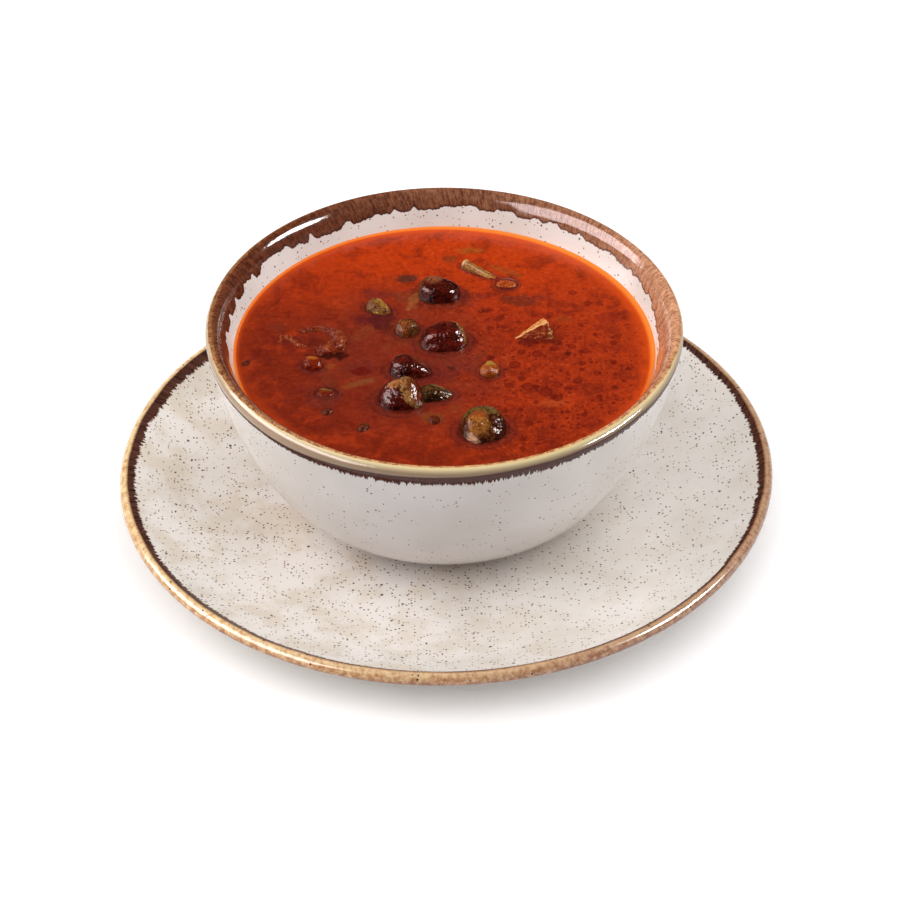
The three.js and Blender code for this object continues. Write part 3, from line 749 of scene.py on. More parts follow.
# %% The large pieces' colours
KHAKI = srgb(140, 104, 56)
GOLD = srgb(190, 132, 70)
BLACK_RED = srgb(38, 8, 5)
WORN = srgb(134, 52, 32)
okra_paints = {
    "okra_1": okra_paint("okra_1", BLACK_RED, srgb(80, 18, 12), WORN, ridge=0.35, marks=[
        ((-1.0, 0, 0.3), 0.4, srgb(112, 70, 34), 0.8), ((-0.35, 0.15, 0.85), 0.4, srgb(150, 88, 54), 0.85)]),
    "okra_2": okra_paint("okra_2", srgb(58, 13, 9), srgb(100, 26, 16), WORN, bands=[
        ((1, 0.35, 0), 1.0, 0.16, KHAKI, 0.9), ((1, 0.35, 0), 0.84, 0.04, GOLD, 0.8)]),
    "okra_3": okra_paint("okra_3", BLACK_RED, srgb(88, 22, 14), WORN, ridge=0.5, marks=[
        ((0.35, 0.4, 0.7), 0.55, srgb(132, 58, 38), 0.6)]),
    "okra_4": okra_paint("okra_4", srgb(52, 12, 8), srgb(90, 22, 14), WORN, ridge=0.35, bands=[
        ((1, 0, 0.6), 0.98, 0.16, srgb(120, 52, 24), 0.8),
        ((1, 0, 0.6), 0.76, 0.17, srgb(156, 112, 60), 0.9)], marks=[
        ((-0.2, 0.3, 0.95), 0.4, srgb(196, 128, 70), 0.9)]),
    "okra_5": okra_paint("okra_5", srgb(48, 22, 12), srgb(92, 58, 26), srgb(140, 108, 56), ridge=0.5, marks=[
        # Painted shade: the front side, and the left end where it meets okra_4, are darker.
        ((0.4, 0.8, 0.5), 0.75, srgb(130, 100, 54), 0.85), ((0, -0.95, 0), 0.72, srgb(30, 12, 8), 0.9),
        ((-0.9, 0, 0), 0.5, srgb(40, 10, 8), 0.8)]),
    "okra_6": okra_paint("okra_6", srgb(52, 14, 8), srgb(84, 36, 16), srgb(140, 100, 50), bands=[
        ((0, 1, 0.45), 0.85, 0.34, srgb(108, 84, 38), 0.85)], marks=[
        ((-0.45, -0.3, 0.8), 0.52, srgb(170, 108, 48), 0.9),
        ((-0.3, 0.2, 0.95), 0.32, srgb(158, 74, 30), 0.8),
        # Painted shade on the right side, and a painted highlight: the cream crescent at the lower left.
        ((0.75, -0.6, 0.3), 0.62, srgb(56, 14, 8), 0.9),
        ((-0.8, -0.75, 0.2), 0.3, srgb(232, 186, 152), 1.0)], ridge=0.7, gloss=0.15),
}

# %% The small pieces' colours
small_paints = {
    "okra_small_1": okra_paint(
        "okra_small_1", srgb(78, 28, 14), srgb(130, 60, 26), srgb(168, 110, 54), ridge=0.7, gloss=0.12,
        rough=0.06, marks=[((0.2, -0.8, 0.4), 0.5, srgb(110, 84, 40), 0.7)]),
    "okra_small_2": okra_paint(
        "okra_small_2", srgb(96, 44, 16), srgb(140, 94, 38), srgb(198, 150, 70), ridge=0.8, gloss=0.08,
        rough=0.1, marks=[((0.1, 0.5, 0.85), 0.6, srgb(178, 132, 58), 0.85)]),
    "okra_bud": okra_paint(
        "okra_bud", srgb(104, 20, 8), srgb(140, 36, 12), srgb(190, 100, 36), gloss=0.12,
        rough=0.06, marks=[((-0.1, 0.45, 0.8), 0.62, srgb(190, 104, 36), 0.8)]),
    "okra_sunk": okra_paint(
        "okra_sunk", srgb(104, 22, 10), srgb(126, 44, 18), srgb(140, 88, 44), gloss=0.08,
        rough=0.1, marks=[((0, 0.7, 0.7), 0.7, srgb(130, 94, 46), 0.8)]),
    "okra_tip": okra_paint(
        "okra_tip", srgb(142, 52, 12), srgb(176, 92, 22), srgb(200, 146, 60), gloss=0.15,
        marks=[((0.7, 0, 0.7), 0.75, srgb(176, 140, 62), 0.85),
               ((-0.6, -0.8, -0.2), 0.55, srgb(112, 26, 8), 0.85)]),
}

# %% Make the pods, the pepper and the stalk
SMALL = dict(wrinkle=0.8, rings=72, sides=96)
for name, paint in okra_paints.items():
    finish_piece(shape_pod(PODS[name]), name + "_skin", paint, "okra", name)
for name, paint in small_paints.items():
    finish_piece(shape_pod(PODS[name], **SMALL), name + "_skin", paint, "okra_small", name)

pepper = okra_paint("pepper_bump", srgb(150, 46, 14), srgb(184, 84, 30), srgb(212, 132, 62), ridge=0.6,
                    gloss=0.1, rough=0.06)
finish_piece(shape_pod(PODS["pepper_bump"], **SMALL), "pepper_skin", pepper, "pepper", "pepper_bump")
stalk = okra_paint("stalk", srgb(138, 82, 24), srgb(178, 120, 42), srgb(212, 164, 84), ridge=0.6, crinkle=0.4,
                   gloss=0.3, marks=[((-1.15, 0, 0.3), 0.42, srgb(230, 198, 130), 0.9),
                                     ((1.1, 0, 0), 0.8, srgb(166, 84, 22), 0.85)])
stalk_body = shape_pod(PODS["stalk_strip"], wrinkle=0.3, rings=96, sides=64)
finish_piece(stalk_body, "stalk_flesh", stalk, "stalk", "stalk_strip")

# %% [markdown]
# ## Curled skins
# Two skins have come off and curled up. Each is a ball stretched along a smooth route: the ball's
# long axis becomes the route, so its ends are closed, and sines make it swell and pinch.

# %% The curls' routes
# route: points from the bowl's axis and above the soup. radii: along it, from end to end.
CURLS = {
    "curled_skin": dict(lump=0.08, phase=0.4, radii=(2.1, 2.9, 2.7, 1.8, 1.3, 1.5), route=[
        (-43.2, -1.2, 0.0), (-38.8, -0.7, 0.4), (-35.2, 2.2, 0.5), (-36.2, 7.4, 0.5), (-42.2, 11.0, 0.3),
        (-49.0, 9.6, 0.1)]),
    "folded_skin": dict(lump=0.1, phase=1.9, radii=(0.8, 1.2, 1.2, 1.0, 1.5), route=[
        (-55.8, 2.8, -0.3), (-54.8, 6.0, 0.0), (-52.4, 6.0, 0.0), (-49.6, 3.0, 0.0), (-46.9, 0.6, -0.2)]),
}
CURL_LENGTH = 32  # about the length of a route, so that the wrinkles aren't stretched
CURL_END = 8  # how blunt the ends are


def on_route(route, t):
    """A point at t, 0 to 1, on the smooth curve through the route's points."""
    ends = [2 * route[0] - route[1]] + route + [2 * route[-1] - route[-2]]
    spot = min(t, 0.9999) * (len(route) - 1)
    i, f = int(spot), spot - int(spot)
    a, b, c, d = ends[i:i + 4]
    square = (2 * a - 5 * b + 4 * c - d) * f * f
    cube = (3 * b - a - 3 * c + d) * f ** 3
    return 0.5 * (2 * b + (c - a) * f + square + cube)


def radius_at(radii, t):
    """The radius at t, 0 to 1, blended between the ones that are given."""
    spot = min(t, 0.9999) * (len(radii) - 1)
    i, f = int(spot), spot - int(spot)
    return radii[i] + (radii[i + 1] - radii[i]) * f


print("curls:", ", ".join(CURLS))


# %% Curled skins along their routes
def shape_curl(curl):
    bm = bmesh.new()
    layer = bm.verts.layers.float_vector.new("on_pod")
    fold_layer = bm.verts.layers.float.new("in_fold")
    bmesh.ops.create_uvsphere(bm, u_segments=56, v_segments=220, radius=1)
    route = [Vector(p) for p in curl["route"]]
    up = Vector((0, 0, 1))
    for vert in bm.verts:
        x, y, u = vert.co
        t = (u + 1) / 2
        middle = on_route(route, t)
        ahead = (on_route(route, min(t + 0.01, 1)) - on_route(route, max(t - 0.01, 0))).normalized()
        side = ahead.cross(up).normalized()
        ring = max(math.hypot(x, y), NEAR_POLE)
        full = (1 - abs(u) ** CURL_END) ** (1 / CURL_END) / ring
        phi = math.atan2(y, x)
        uneven = 1 + curl["lump"] * math.sin(25 * t + curl["phase"]) + 0.08 * math.sin(41 * t + 2 * phi)
        radius = radius_at(curl["radii"], t)
        skin = Vector((t * CURL_LENGTH, radius * math.cos(phi), radius * math.sin(phi)))
        height, vert[fold_layer] = skin_folds(skin)
        girth = full * (radius * (uneven + 0.16 * noise.noise(skin / 3)) + 1.2 * height)
        vert[layer] = (u * 3, x, y)
        vert.co = middle + side * (girth * x) + up * (girth * y) + Vector((BOWL_X, BOWL_Y, SOUP_LEVEL))
    bmesh.ops.recalc_face_normals(bm, faces=bm.faces)
    return bm


curl_paint = okra_paint("curled_skin", srgb(104, 28, 14), srgb(150, 56, 26), srgb(186, 104, 50), ridge=0.7,
                        gloss=0.1, rough=0.08)
fold_paint = okra_paint("folded_skin", srgb(124, 40, 18), srgb(164, 72, 34), srgb(196, 120, 66), ridge=0.7,
                        gloss=0.08, rough=0.1)
finish_piece(shape_curl(CURLS["curled_skin"]), "curled_peel", curl_paint, "vegetable_skin", "curled_skin")
finish_piece(shape_curl(CURLS["folded_skin"]), "folded_peel", fold_paint, "vegetable_skin", "folded_skin")

# %% [markdown]
# ## The cut wedge
# One piece was cut: a dark face in front, a gold top that climbs behind a sharp bright ridge, and a
# tan right edge. It is its side outline extruded, bevelled, leaned back and roughened a little.

# %% The cut wedge
# side: its side outline, along and up. lean, fall and narrow: how far its back leans, drops and closes in.
WEDGE = dict(at=(23.4, 5.4), thickness=5.2, bevel=0.3, lean=0.5, fall=0.3, narrow=0.5, narrow_at=8.4,
             side=[(0.2, -2.2), (-0.2, 0.1), (5.2, 2.9), (11.4, 5.5), (13.2, 1.4), (13.0, -2.2)])


def shape_wedge():
    bm = bmesh.new()
    layer = bm.verts.layers.float_vector.new("on_pod")
    front = bm.faces.new([bm.verts.new((x, 0, z)) for x, z in WEDGE["side"]])
    back = bmesh.ops.extrude_face_region(bm, geom=[front])["geom"]
    moved = [v for v in back if isinstance(v, bmesh.types.BMVert)]
    bmesh.ops.translate(bm, vec=(0, WEDGE["thickness"], 0), verts=moved)
    bmesh.ops.recalc_face_normals(bm, faces=bm.faces)
    bmesh.ops.bevel(bm, geom=bm.edges[:], offset=WEDGE["bevel"], affect="EDGES", segments=2, profile=0.5,
                    material=-1)
    bmesh.ops.triangulate(bm, faces=[f for f in bm.faces if len(f.verts) > 4])
    bmesh.ops.subdivide_edges(bm, edges=bm.edges[:], cuts=9, use_grid_fill=True)
    for vert in bm.verts:
        x, y, z = vert.co
        vert[layer] = (x / 6.5 - 1, y / WEDGE["thickness"], z / 3)
        depth = min(max(y / WEDGE["thickness"], 0), 1)
        across = x + (WEDGE["narrow_at"] - x) * WEDGE["narrow"] * depth
        height = max(z, 0) * (1 - WEDGE["fall"] * depth) + min(z, 0)
        rough = 0.4 * noise.noise(vert.co * 0.4) + 0.32 * noise.noise(vert.co * 0.9)
        rough += 0.2 * noise.noise(vert.co * 2.0)
        vert.co = Vector((BOWL_X + WEDGE["at"][0] + across + rough,
                          BOWL_Y + WEDGE["at"][1] + y + WEDGE["lean"] * height + rough,
                          SOUP_LEVEL + height + rough))
    return bm


# %% The wedge's colours
def wedge_paint():
    paint = Paint("okra_wedge")
    spot = paint.attribute("on_pod", "Vector")
    parts = paint.node("SeparateXYZ", None, {"Vector": spot})
    grain = paint.noise(paint.vector("MULTIPLY", spot, (1.0, 2.0, 1.5)), 2.4, 4.0, 0.6)
    fine = paint.noise(spot, 9.0, 3.0, 0.6)
    face = paint.mix((grain + (fine - 0.5) * 0.4).rise(0.38, 0.62), srgb(104, 28, 12), srgb(150, 56, 22))
    gold = paint.mix(grain.rise(0.36, 0.64), srgb(178, 102, 42), srgb(220, 164, 96))
    behind = parts.also("Y") + (fine - 0.5) * 0.05 + (grain - 0.5) * 0.08
    ridge = behind.rise(0.0, 0.03) * (1 - behind.rise(0.08, 0.16)) * parts.also("Z").rise(-0.1, 0.1)
    color = paint.mix(behind.rise(0.01, 0.05), face, gold)
    color = paint.mix(ridge, color, srgb(228, 166, 102))
    end = (parts + (fine - 0.5) * 0.1).rise(0.74, 0.84)
    color = paint.mix(end * (1 - behind.rise(0.2, 0.5)), color, srgb(120, 58, 26))
    color = paint.mix(end * (fine * 0.5 + grain * 0.5).rise(0.5, 0.56), color, srgb(206, 148, 84))
    # Painted shade: the front face is darker at its base, where it sits in the soup.
    base_shade = 1 - (parts.also("Z") + (grain - 0.5) * 0.6).rise(-0.1, 0.5)
    color = paint.mix(base_shade * (1 - behind.rise(0.02, 0.1)) * 0.8, color, srgb(84, 16, 8))
    return paint.finish(color=color, roughness=0.25, ior=1.38, specular=0.3,
                        normal=paint.bump(grain + 0.3 * fine, 0.4, 0.5))


finish_piece(shape_wedge(), "wedge_flesh", wedge_paint(), "okra_cut", "okra_wedge")

# %% [markdown]
# ## The soup
# The soup is one turned body with its own level. Its surface isn't flat: it climbs a little up the
# wall and up every piece that breaks it, which is what makes the pieces look wet and sunk in. Each
# piece pulls the surface up around its waterline by a formula.

# %% The soup's profile
SOUP_RINGS = 130
# The bits on the surface: place from the bowl's axis, height above the surface and size.
BITS = [((-38.5, -34.5), 0.2, (3.8, 3.4, 3.2)), ((-26.4, -43.0), 0.3, (4.6, 3.6, 3.2)),
        ((-66.2, -8.0), -0.2, (4.8, 3.0, 2.8)), ((-3.3, -39.0), 0.2, (4.6, 3.8, 3.6))]


def soup_profile():
    """The profile, and the number of its point at the wall."""
    floor = BOWL_FLOOR_HEIGHT + GAP
    heights = spaced(BOWL_FLOOR_HEIGHT, SOUP_LEVEL, INSIDE_STEPS, 2)[:-1]
    side = [(inner_radius(z) - GAP, z + GAP) for z in heights]
    edge = SOUP_RADIUS - GAP
    top = [(edge - d, SOUP_LEVEL) for d in spaced(0, edge, SOUP_RINGS, 1.15)]
    return [(0, floor)] + side + top, len(side) + 1


def round_places():
    """Places from the bowl's axis, with a radius, that stand for what isn't a pod."""
    places = [(bx, by, size[0] / 2) for (bx, by), rise, size in BITS]
    for curl in CURLS.values():
        route = [Vector(p) for p in curl["route"]]
        for t in spaced(0.03, 0.97, 14):
            middle = on_route(route, t)
            places.append((middle.x, middle.y, radius_at(curl["radii"], t)))
    for x in spaced(1.5, 11.5, 5):
        places.append((WEDGE["at"][0] + x, WEDGE["at"][1] + 1.6, 1.6))
    return places


ROUND_PLACES = round_places()
print(len(ROUND_PLACES), "round places where the surface climbs")


# %% How far the surface climbs
MENISCUS_RISE = 0.5  # at the edge of a piece
MENISCUS_RUN = 0.8  # how far from it the climb fades
BY_A_POD = 4  # beyond this a pod has no pull that shows
BY_A_BIT = 3


def ellipse_distance(x, y, at, half, heading=0.0):
    """Distance from an ellipse's middle, in units of its half sizes."""
    dx, dy, turn = x - at[0], y - at[1], math.radians(heading)
    u = dx * math.cos(turn) + dy * math.sin(turn)
    v = dy * math.cos(turn) - dx * math.sin(turn)
    return math.hypot(u / half[0], v / half[1])


def pull_of(x, y):
    """How far the surface climbs at a point, from the bowl's axis."""
    gap_to_wall = SOUP_RADIUS - GAP - math.hypot(x, y)
    pull = MENISCUS_RISE * math.exp(-gap_to_wall / MENISCUS_RUN)
    for pod in PODS.values():
        at, half = pod["at"], [s / 2 for s in pod["size"][:2]]
        if max(abs(x - at[0]), abs(y - at[1])) <= half[0] + BY_A_POD:
            away = (ellipse_distance(x, y, at, half, pod["turn"][0]) - 1) * min(half)
            pull = max(pull, MENISCUS_RISE * math.exp(-max(away, 0) / MENISCUS_RUN))
    for px, py, reach in ROUND_PLACES:
        if max(abs(x - px), abs(y - py)) < reach + BY_A_BIT:
            away = max(math.hypot(x - px, y - py) - reach, 0)
            pull = max(pull, 0.8 * MENISCUS_RISE * math.exp(-away / MENISCUS_RUN))
    return pull


print(f"the surface climbs {pull_of(SOUP_RADIUS - GAP, 0):.2f} mm at the wall")

# %% [markdown]
# ## What shows through the broth, and painted shadows
# Shreds, seeds and darker pieces lie wholly under the surface and show only as soft patches, and
# the hidden side of each pod makes a brown halo round it. A few patches are painted shadows, under
# the cut wedge and under and inside the curled skin. A shader with an ellipse for each would be too
# large, so the script works them out once for every vertex of the surface, which is fine enough for
# soft patches, and the paint reads them.

# %% What is sunk, painted shadows, and the discs of oil
# What lies under the surface, and a few painted shadows: place from the bowl's axis, half sizes,
# heading, colour and strength.
SUNK_AND_SHADOWS = [
    ((-28, -10.0), (5.2, 5.2), 0, srgb(104, 34, 26), 0.6),
    ((-28, -11.6), (2.9, 2.7), 0, srgb(96, 14, 10), 0.8),
    ((-27.8, -18.0), (6.6, 1.8), 24, srgb(122, 66, 30), 0.75),
    ((-38.4, -9.2), (2.2, 1.6), -20, srgb(146, 70, 30), 0.5),
    ((-34.4, -12.6), (4.6, 1.2), -52, srgb(118, 40, 20), 0.6),
    ((-38.6, -16.4), (5.4, 2.4), -70, srgb(108, 50, 24), 0.55),
    ((-22, 16.0), (6.6, 4.8), -62, srgb(70, 22, 14), 0.75),
    ((-13, 41), (4.2, 2.6), 0, srgb(74, 40, 28), 0.85),
    ((-23, 31), (6.5, 3.6), 0, srgb(96, 34, 32), 0.5),
    ((-13, 30), (4.6, 4.6), 0, srgb(104, 50, 30), 0.45),
    ((-10.8, 27), (6.6, 2.0), 76, srgb(142, 76, 38), 0.9),
    ((26, 28), (7.4, 3.4), 0, srgb(92, 38, 20), 0.7),
    ((30, 29), (9.0, 2.6), 0, srgb(118, 40, 26), 0.5),
    ((9, 57), (4.6, 2.2), 0, srgb(148, 80, 24), 0.6),
    ((2, 52), (3.6, 2.8), 0, srgb(130, 52, 22), 0.8),
    ((-19.6, 10), (2.8, 2.4), 0, srgb(104, 34, 20), 0.6),
    ((-18, 3.5), (3.4, 2.6), 0, srgb(118, 34, 22), 0.5),
    ((2.5, -10), (1.6, 1.4), 0, srgb(48, 24, 16), 0.95),
    ((-24, 17), (7.5, 4.6), -12, srgb(84, 26, 28), 0.6),
    ((-40, -28), (6.2, 4.6), 0, srgb(98, 38, 28), 0.6),
    ((-3, -37), (4.4, 3.8), 0, srgb(116, 66, 30), 0.5),
    ((7, 29), (5.4, 4.2), 0, srgb(110, 38, 26), 0.5),
    ((14.5, 31), (4.2, 1.8), 0, srgb(96, 28, 28), 0.45),
    ((7, 31), (1.7, 2.0), 0, srgb(84, 26, 22), 0.5),
    ((21, 45), (7.0, 2.0), -32, srgb(136, 66, 24), 0.6),
    ((14, 22), (2.8, 1.8), 0, srgb(84, 14, 10), 0.75),
    ((19, 18), (2.0, 1.8), 0, srgb(104, 22, 12), 0.6),
    ((41, 17.6), (3.4, 2.4), 0, srgb(120, 60, 22), 0.35),
    ((56, 18), (5.0, 4.0), 0, srgb(124, 30, 20), 0.5),
    ((41.6, -1.8), (1.7, 1.3), 0, srgb(48, 12, 6), 0.8),
    ((58.0, 1.0), (4.6, 3.6), 0, srgb(116, 28, 14), 0.4),
    # Painted shade round the base of the cut wedge.
    ((31.0, 5.6), (9.0, 4.4), 0, srgb(88, 22, 12), 0.65),
    ((-3.0, -16.0), (9.0, 4.5), 20, srgb(98, 28, 24), 0.45),
    ((-19.0, -30.0), (8.0, 5.0), 0, srgb(102, 30, 22), 0.45),
    ((-42.0, -18.0), (11.0, 5.0), 40, srgb(112, 38, 24), 0.4),
    ((-56, 13), (3.6, 3.2), 0, srgb(104, 40, 24), 0.5),
    ((14, -21), (5.4, 5.0), 0, srgb(112, 34, 22), 0.4),
    ((2, -8), (15, 7), 0, srgb(104, 32, 28), 0.45),
    ((13, -34.0), (6.0, 2.4), 12, srgb(92, 40, 18), 0.7),
    ((36, -29), (5.4, 2.2), 0, srgb(170, 70, 28), 0.5),
    # Painted shadows: under the cut wedge, and under and inside the curled skin.
    ((31, 4.2), (8.6, 1.5), 0, srgb(84, 16, 10), 0.45),
    ((-38.5, -3.4), (6.6, 2.2), 0, srgb(48, 12, 8), 0.9),
    ((-43.5, 4.2), (4.6, 3.2), 0, srgb(84, 22, 14), 0.6),
    ((-52.0, 4.6), (4.8, 2.2), 0, srgb(96, 28, 18), 0.6),
]
# Discs of oil: place from the bowl's axis and radius.
DISCS = [(23.6, -8.4, 2.1), (27.8, -20.2, 2.2), (33.6, -23.2, 2.4), (37.4, -26.4, 1.7), (31.2, -2.4, 1.8),
         (44.3, -17.0, 1.6), (51.0, -12.8, 1.4), (49.0, 26.4, 1.5), (44.0, 32.4, 1.5), (43.0, 2.0, 1.4),
         (37.0, 0.6, 1.6), (47.4, -0.8, 1.6), (37.8, -19.2, 1.7), (27.8, -39.6, 1.6), (21.4, -19.6, 1.5),
         (16.0, -4.0, 1.2), (53.0, 26.0, 1.2), (58, 7, 1.5), (36, 20, 1.4)]
print(len(SUNK_AND_SHADOWS), "sunk patches and", len(DISCS), "discs of oil")


# %% What each point of the surface carries
def smooth_step(low, high, value):
    t = min(max((value - low) / (high - low), 0), 1)
    return t * t * (3 - 2 * t)


def sunk_and_shadow_color(x, y):
    """The colour of what is sunk and of the painted shadows at a point, already multiplied by how much it
    shows, and that share.
    """
    place = Vector((x, y, 0))
    ragged = 0.45 * noise.noise(place / 1.9) + 0.4 * noise.noise(place / 4.5 + Vector((3, 8, 0)))
    color, share = Vector((0, 0, 0)), 0.0
    for at, half, heading, tint, strength in SUNK_AND_SHADOWS:
        if abs(x - at[0]) > 1.5 * max(half) or abs(y - at[1]) > 1.5 * max(half):
            continue
        away = ellipse_distance(x, y, at, half, heading) + ragged
        here = (1 - smooth_step(0.62, 1.12, away)) * strength
        color = color * (1 - here) + Vector(tint[:3]) * here
        share = share * (1 - here) + here
    return (*color, share)


def from_pods(x, y):
    return min(ellipse_distance(x, y, pod["at"], [s / 2 + 0.4 for s in pod["size"][:2]], pod["turn"][0])
               for pod in PODS.values())


def from_discs(x, y):
    return min(math.hypot(x - dx, y - dy) / size for dx, dy, size in DISCS)


print("surface layers ready")


# %% Shape the soup
RIPPLE = 0.05
WALL_CLEARANCE = 0.03  # the edge of the surface stays this far inside the wall


def shape_soup():
    profile, edge_at = soup_profile()
    bm = spun(profile, "from_wall", edge_at)
    pod_layer = bm.verts.layers.float.new("from_pod")
    disc_layer = bm.verts.layers.float.new("from_disc")
    sunk_and_shadow_layer = bm.verts.layers.float_color.new("under")
    for vert in bm.verts:
        if vert.co.z > SOUP_LEVEL - 0.01:
            x, y, z = vert.co
            vert[pod_layer] = from_pods(x, y)
            vert[disc_layer] = from_discs(x, y)
            vert[sunk_and_shadow_layer] = sunk_and_shadow_color(x, y)
            ripple = RIPPLE * noise.noise(Vector((x, y, 0)) * 0.11)
            vert.co.z += pull_of(x, y) + ripple
            if math.hypot(x, y) > SOUP_RADIUS - GAP - 0.01:
                wall = SOUP_RADIUS + (vert.co.z - SOUP_LEVEL) * math.tan(math.radians(WALL_FLARE))
                vert.co.xy *= (wall - WALL_CLEARANCE) / math.hypot(x, y)
    bmesh.ops.translate(bm, vec=(BOWL_X, BOWL_Y, 0), verts=bm.verts)
    return bm


# %% [markdown]
# ## The soup's colour
# A thin red broth over a thick one: brick red in the middle, hazier and browner at the left where
# much lies just under the surface, a brighter orange-red towards the back, and a thin film of
# orange oil at the back wall. Dark round discs are oil seen from above. The halos and the sunk
# patches come from the surface's own layers. A narrow dark ring round each pod, and a darker edge
# where it meets the surface, are painted shade.

# %% The soup's paint
# Each kind of oil bead: its cell in millimetres, its largest radius as a share of that, and how rare it is.
OIL_BEADS = [(5.2, 0.3, 0.5), (2.6, 0.27, 0.3), (1.7, 0.26, 0.4)]
# The film of oil at the wall, by angle in degrees: how strong it is, and how wide in millimetres.
WALL_OIL = [(0, 1.0), (60, 1.0), (120, 0.8), (190, 0.75), (215, 0.2), (240, 0.0), (325, 0.0), (345, 0.6),
            (360, 1.0)]
WALL_OIL_WIDTH = [(0, 2.6), (60, 2.6), (110, 1.4), (180, 0.8), (240, 0.8), (320, 0.8), (360, 2.6)]


def local_distance(paint, flat, at, half, heading=0.0):
    """Distance from a place, in units of an ellipse's half sizes."""
    sockets = {"Vector": flat, "Location": (*at, 0), "Rotation": (0, 0, math.radians(heading)),
               "Scale": (*half, 1)}
    return paint.vector("LENGTH", paint.node("Mapping", {"vector_type": "TEXTURE"}, sockets), out=1)


def soup_paint():
    paint = Paint("soup")
    place = paint.place((BOWL_X, BOWL_Y, SOUP_LEVEL))
    flat = paint.vector("MULTIPLY", place, (1, 1, 0))
    turn = turn_of(paint, flat_unit(paint, place))
    x = paint.node("SeparateXYZ", None, {"Vector": flat})
    y = x.also("Y")
    cloud = paint.noise(flat, 0.06, 4.0, 0.6)
    grain = paint.noise(flat, 0.55, 4.0, 0.7)
    fine = paint.noise(flat, 2.0, 3.0, 0.7)
    pulled = paint.join_xyz((cloud - 0.5) * 26, (paint.noise(flat, 0.05) - 0.5) * 30, 0)
    drawn = paint.vector("ADD", flat, pulled)
    swirl = paint.noise(drawn, 0.13, 5.0, 0.6)
    shift = (cloud - 0.5) * 26

    # The broth: redder at the left, brighter at the back, and clouded among the pods.
    color = paint.mix((x + shift).rise(-46, 26), srgb(120, 36, 17), srgb(148, 42, 13))
    color = paint.mix((y + shift).rise(4, 66) * 0.9, color, srgb(188, 56, 8))
    color = paint.mix((0 - y + shift).rise(30, 68) * 0.7, color, srgb(116, 31, 8))
    color = paint.mix((x + y * 0.4 + shift).rise(36, 74) * 0.5, color, srgb(176, 56, 12))
    color = paint.mix(swirl.rise(0.5, 0.68) * 0.45, color, srgb(176, 56, 16))
    color = paint.mix((1 - swirl.rise(0.34, 0.52)) * 0.5, color, srgb(96, 24, 13))
    among = 1 - local_distance(paint, flat, (-11, -4), (36, 50), 12).rise(0.45, 1.05)
    color = paint.mix(among * (0.35 + 0.65 * swirl.rise(0.4, 0.6)) * 0.55, color, srgb(106, 40, 28))
    color = paint.mix(among * cloud.rise(0.5, 0.62) * 0.4, color, srgb(118, 58, 28))

    # The halo round each pod, painted shade round its edge, and then what is sunk, with its painted shadows,
    # which the surface carries.
    away = paint.attribute("from_pod") + (grain - 0.5) * 0.3
    color = paint.mix((1 - away.rise(1.0, 1.7)) * 0.55, color, srgb(96, 38, 28))
    # Painted shade: a narrow dark ring round each pod, where the climbing surface bends the light.
    ring = 1 - paint.math("ABSOLUTE", away - 1.32 + (swirl - 0.5) * 0.5).rise(0.0, 0.1)
    color = paint.mix(ring * 0.4, color, srgb(78, 14, 12))
    # Painted shade: darker where each pod meets the surface.
    color = paint.mix((1 - away.rise(0.98, 1.14)) * 0.6, color, srgb(62, 12, 8))
    color = paint.mix(paint.attribute("under", "Alpha"), color, (0, 0, 0, 1))
    color = paint.mix(1.0, color, paint.attribute("under", "Color"), "ADD")

    # Grain, flecks of fat, and beads and discs of oil.
    mottle = paint.mix((grain + (fine - 0.5) * 0.5).rise(0.3, 0.7), srgb(150, 150, 150), srgb(255, 255, 255))
    color = paint.mix(0.4, color, mottle, "MULTIPLY")
    right = (x + y * 0.3).rise(-22, 16)
    flecks = (fine + (grain - 0.5) * 0.6).rise(0.6, 0.74) * (0.15 + 0.45 * right)
    color = paint.mix(flecks, color, srgb(206, 92, 30))
    dense = 0.12 + 0.42 * right * (0 - y + shift).rise(-46, 14) + 0.1 * right
    discs = 0.0
    for cell, size, low in OIL_BEADS:
        beads = paint.node("TexVoronoi", {"voronoi_dimensions": "2D"}, {"Vector": flat, "Scale": 1 / cell})
        luck = paint.node("SeparateColor", None, {"Color": beads.also("Color")})
        radius = luck.rise(low, 1.0) * size
        discs = (1 - (beads - radius).rise(-0.1, 0.04)) * radius.rise(0.04, 0.1) * dense + discs
    away = paint.attribute("from_disc") + (grain - 0.5) * 0.25
    rim = 1 - paint.math("ABSOLUTE", away - 0.9).rise(0.0, 0.25)
    discs = (1 - away.rise(0.8, 1.05)) * 0.45 + rim * 0.3 + discs
    color = paint.mix(paint.math("MINIMUM", discs, 0.8), color, srgb(84, 14, 7))

    # The film of oil at the wall.
    strength = by_angle(paint, turn, WALL_OIL)
    width = by_angle(paint, turn, WALL_OIL_WIDTH)
    from_wall = paint.attribute("from_wall") + (grain - 0.5) * 0.6
    near = from_wall / width
    color = paint.mix((1 - from_wall.rise(2.0, 7.0)) * (1 - strength) * 0.6, color, srgb(186, 62, 14))
    color = paint.mix((1 - near.rise(0.2, 2.6)) * strength * 0.7, color, srgb(210, 74, 12))
    color = paint.mix((1 - near.rise(0.1, 0.8)) * strength, color, srgb(238, 128, 48))
    normal = paint.bump(grain * 0.5 + fine * 0.4 - discs * 0.3, 0.10, 0.6)
    return paint.finish(color=color, roughness=0.16, ior=1.36, normal=normal)


finish_piece(shape_soup(), "soup_body", soup_paint(), "soup", "soup")

# %% [markdown]
# ## Small bits on the surface
# Four bits just break the surface. They belong to the soup's own solid, so these little balls
# replace that node together with the soup's body.

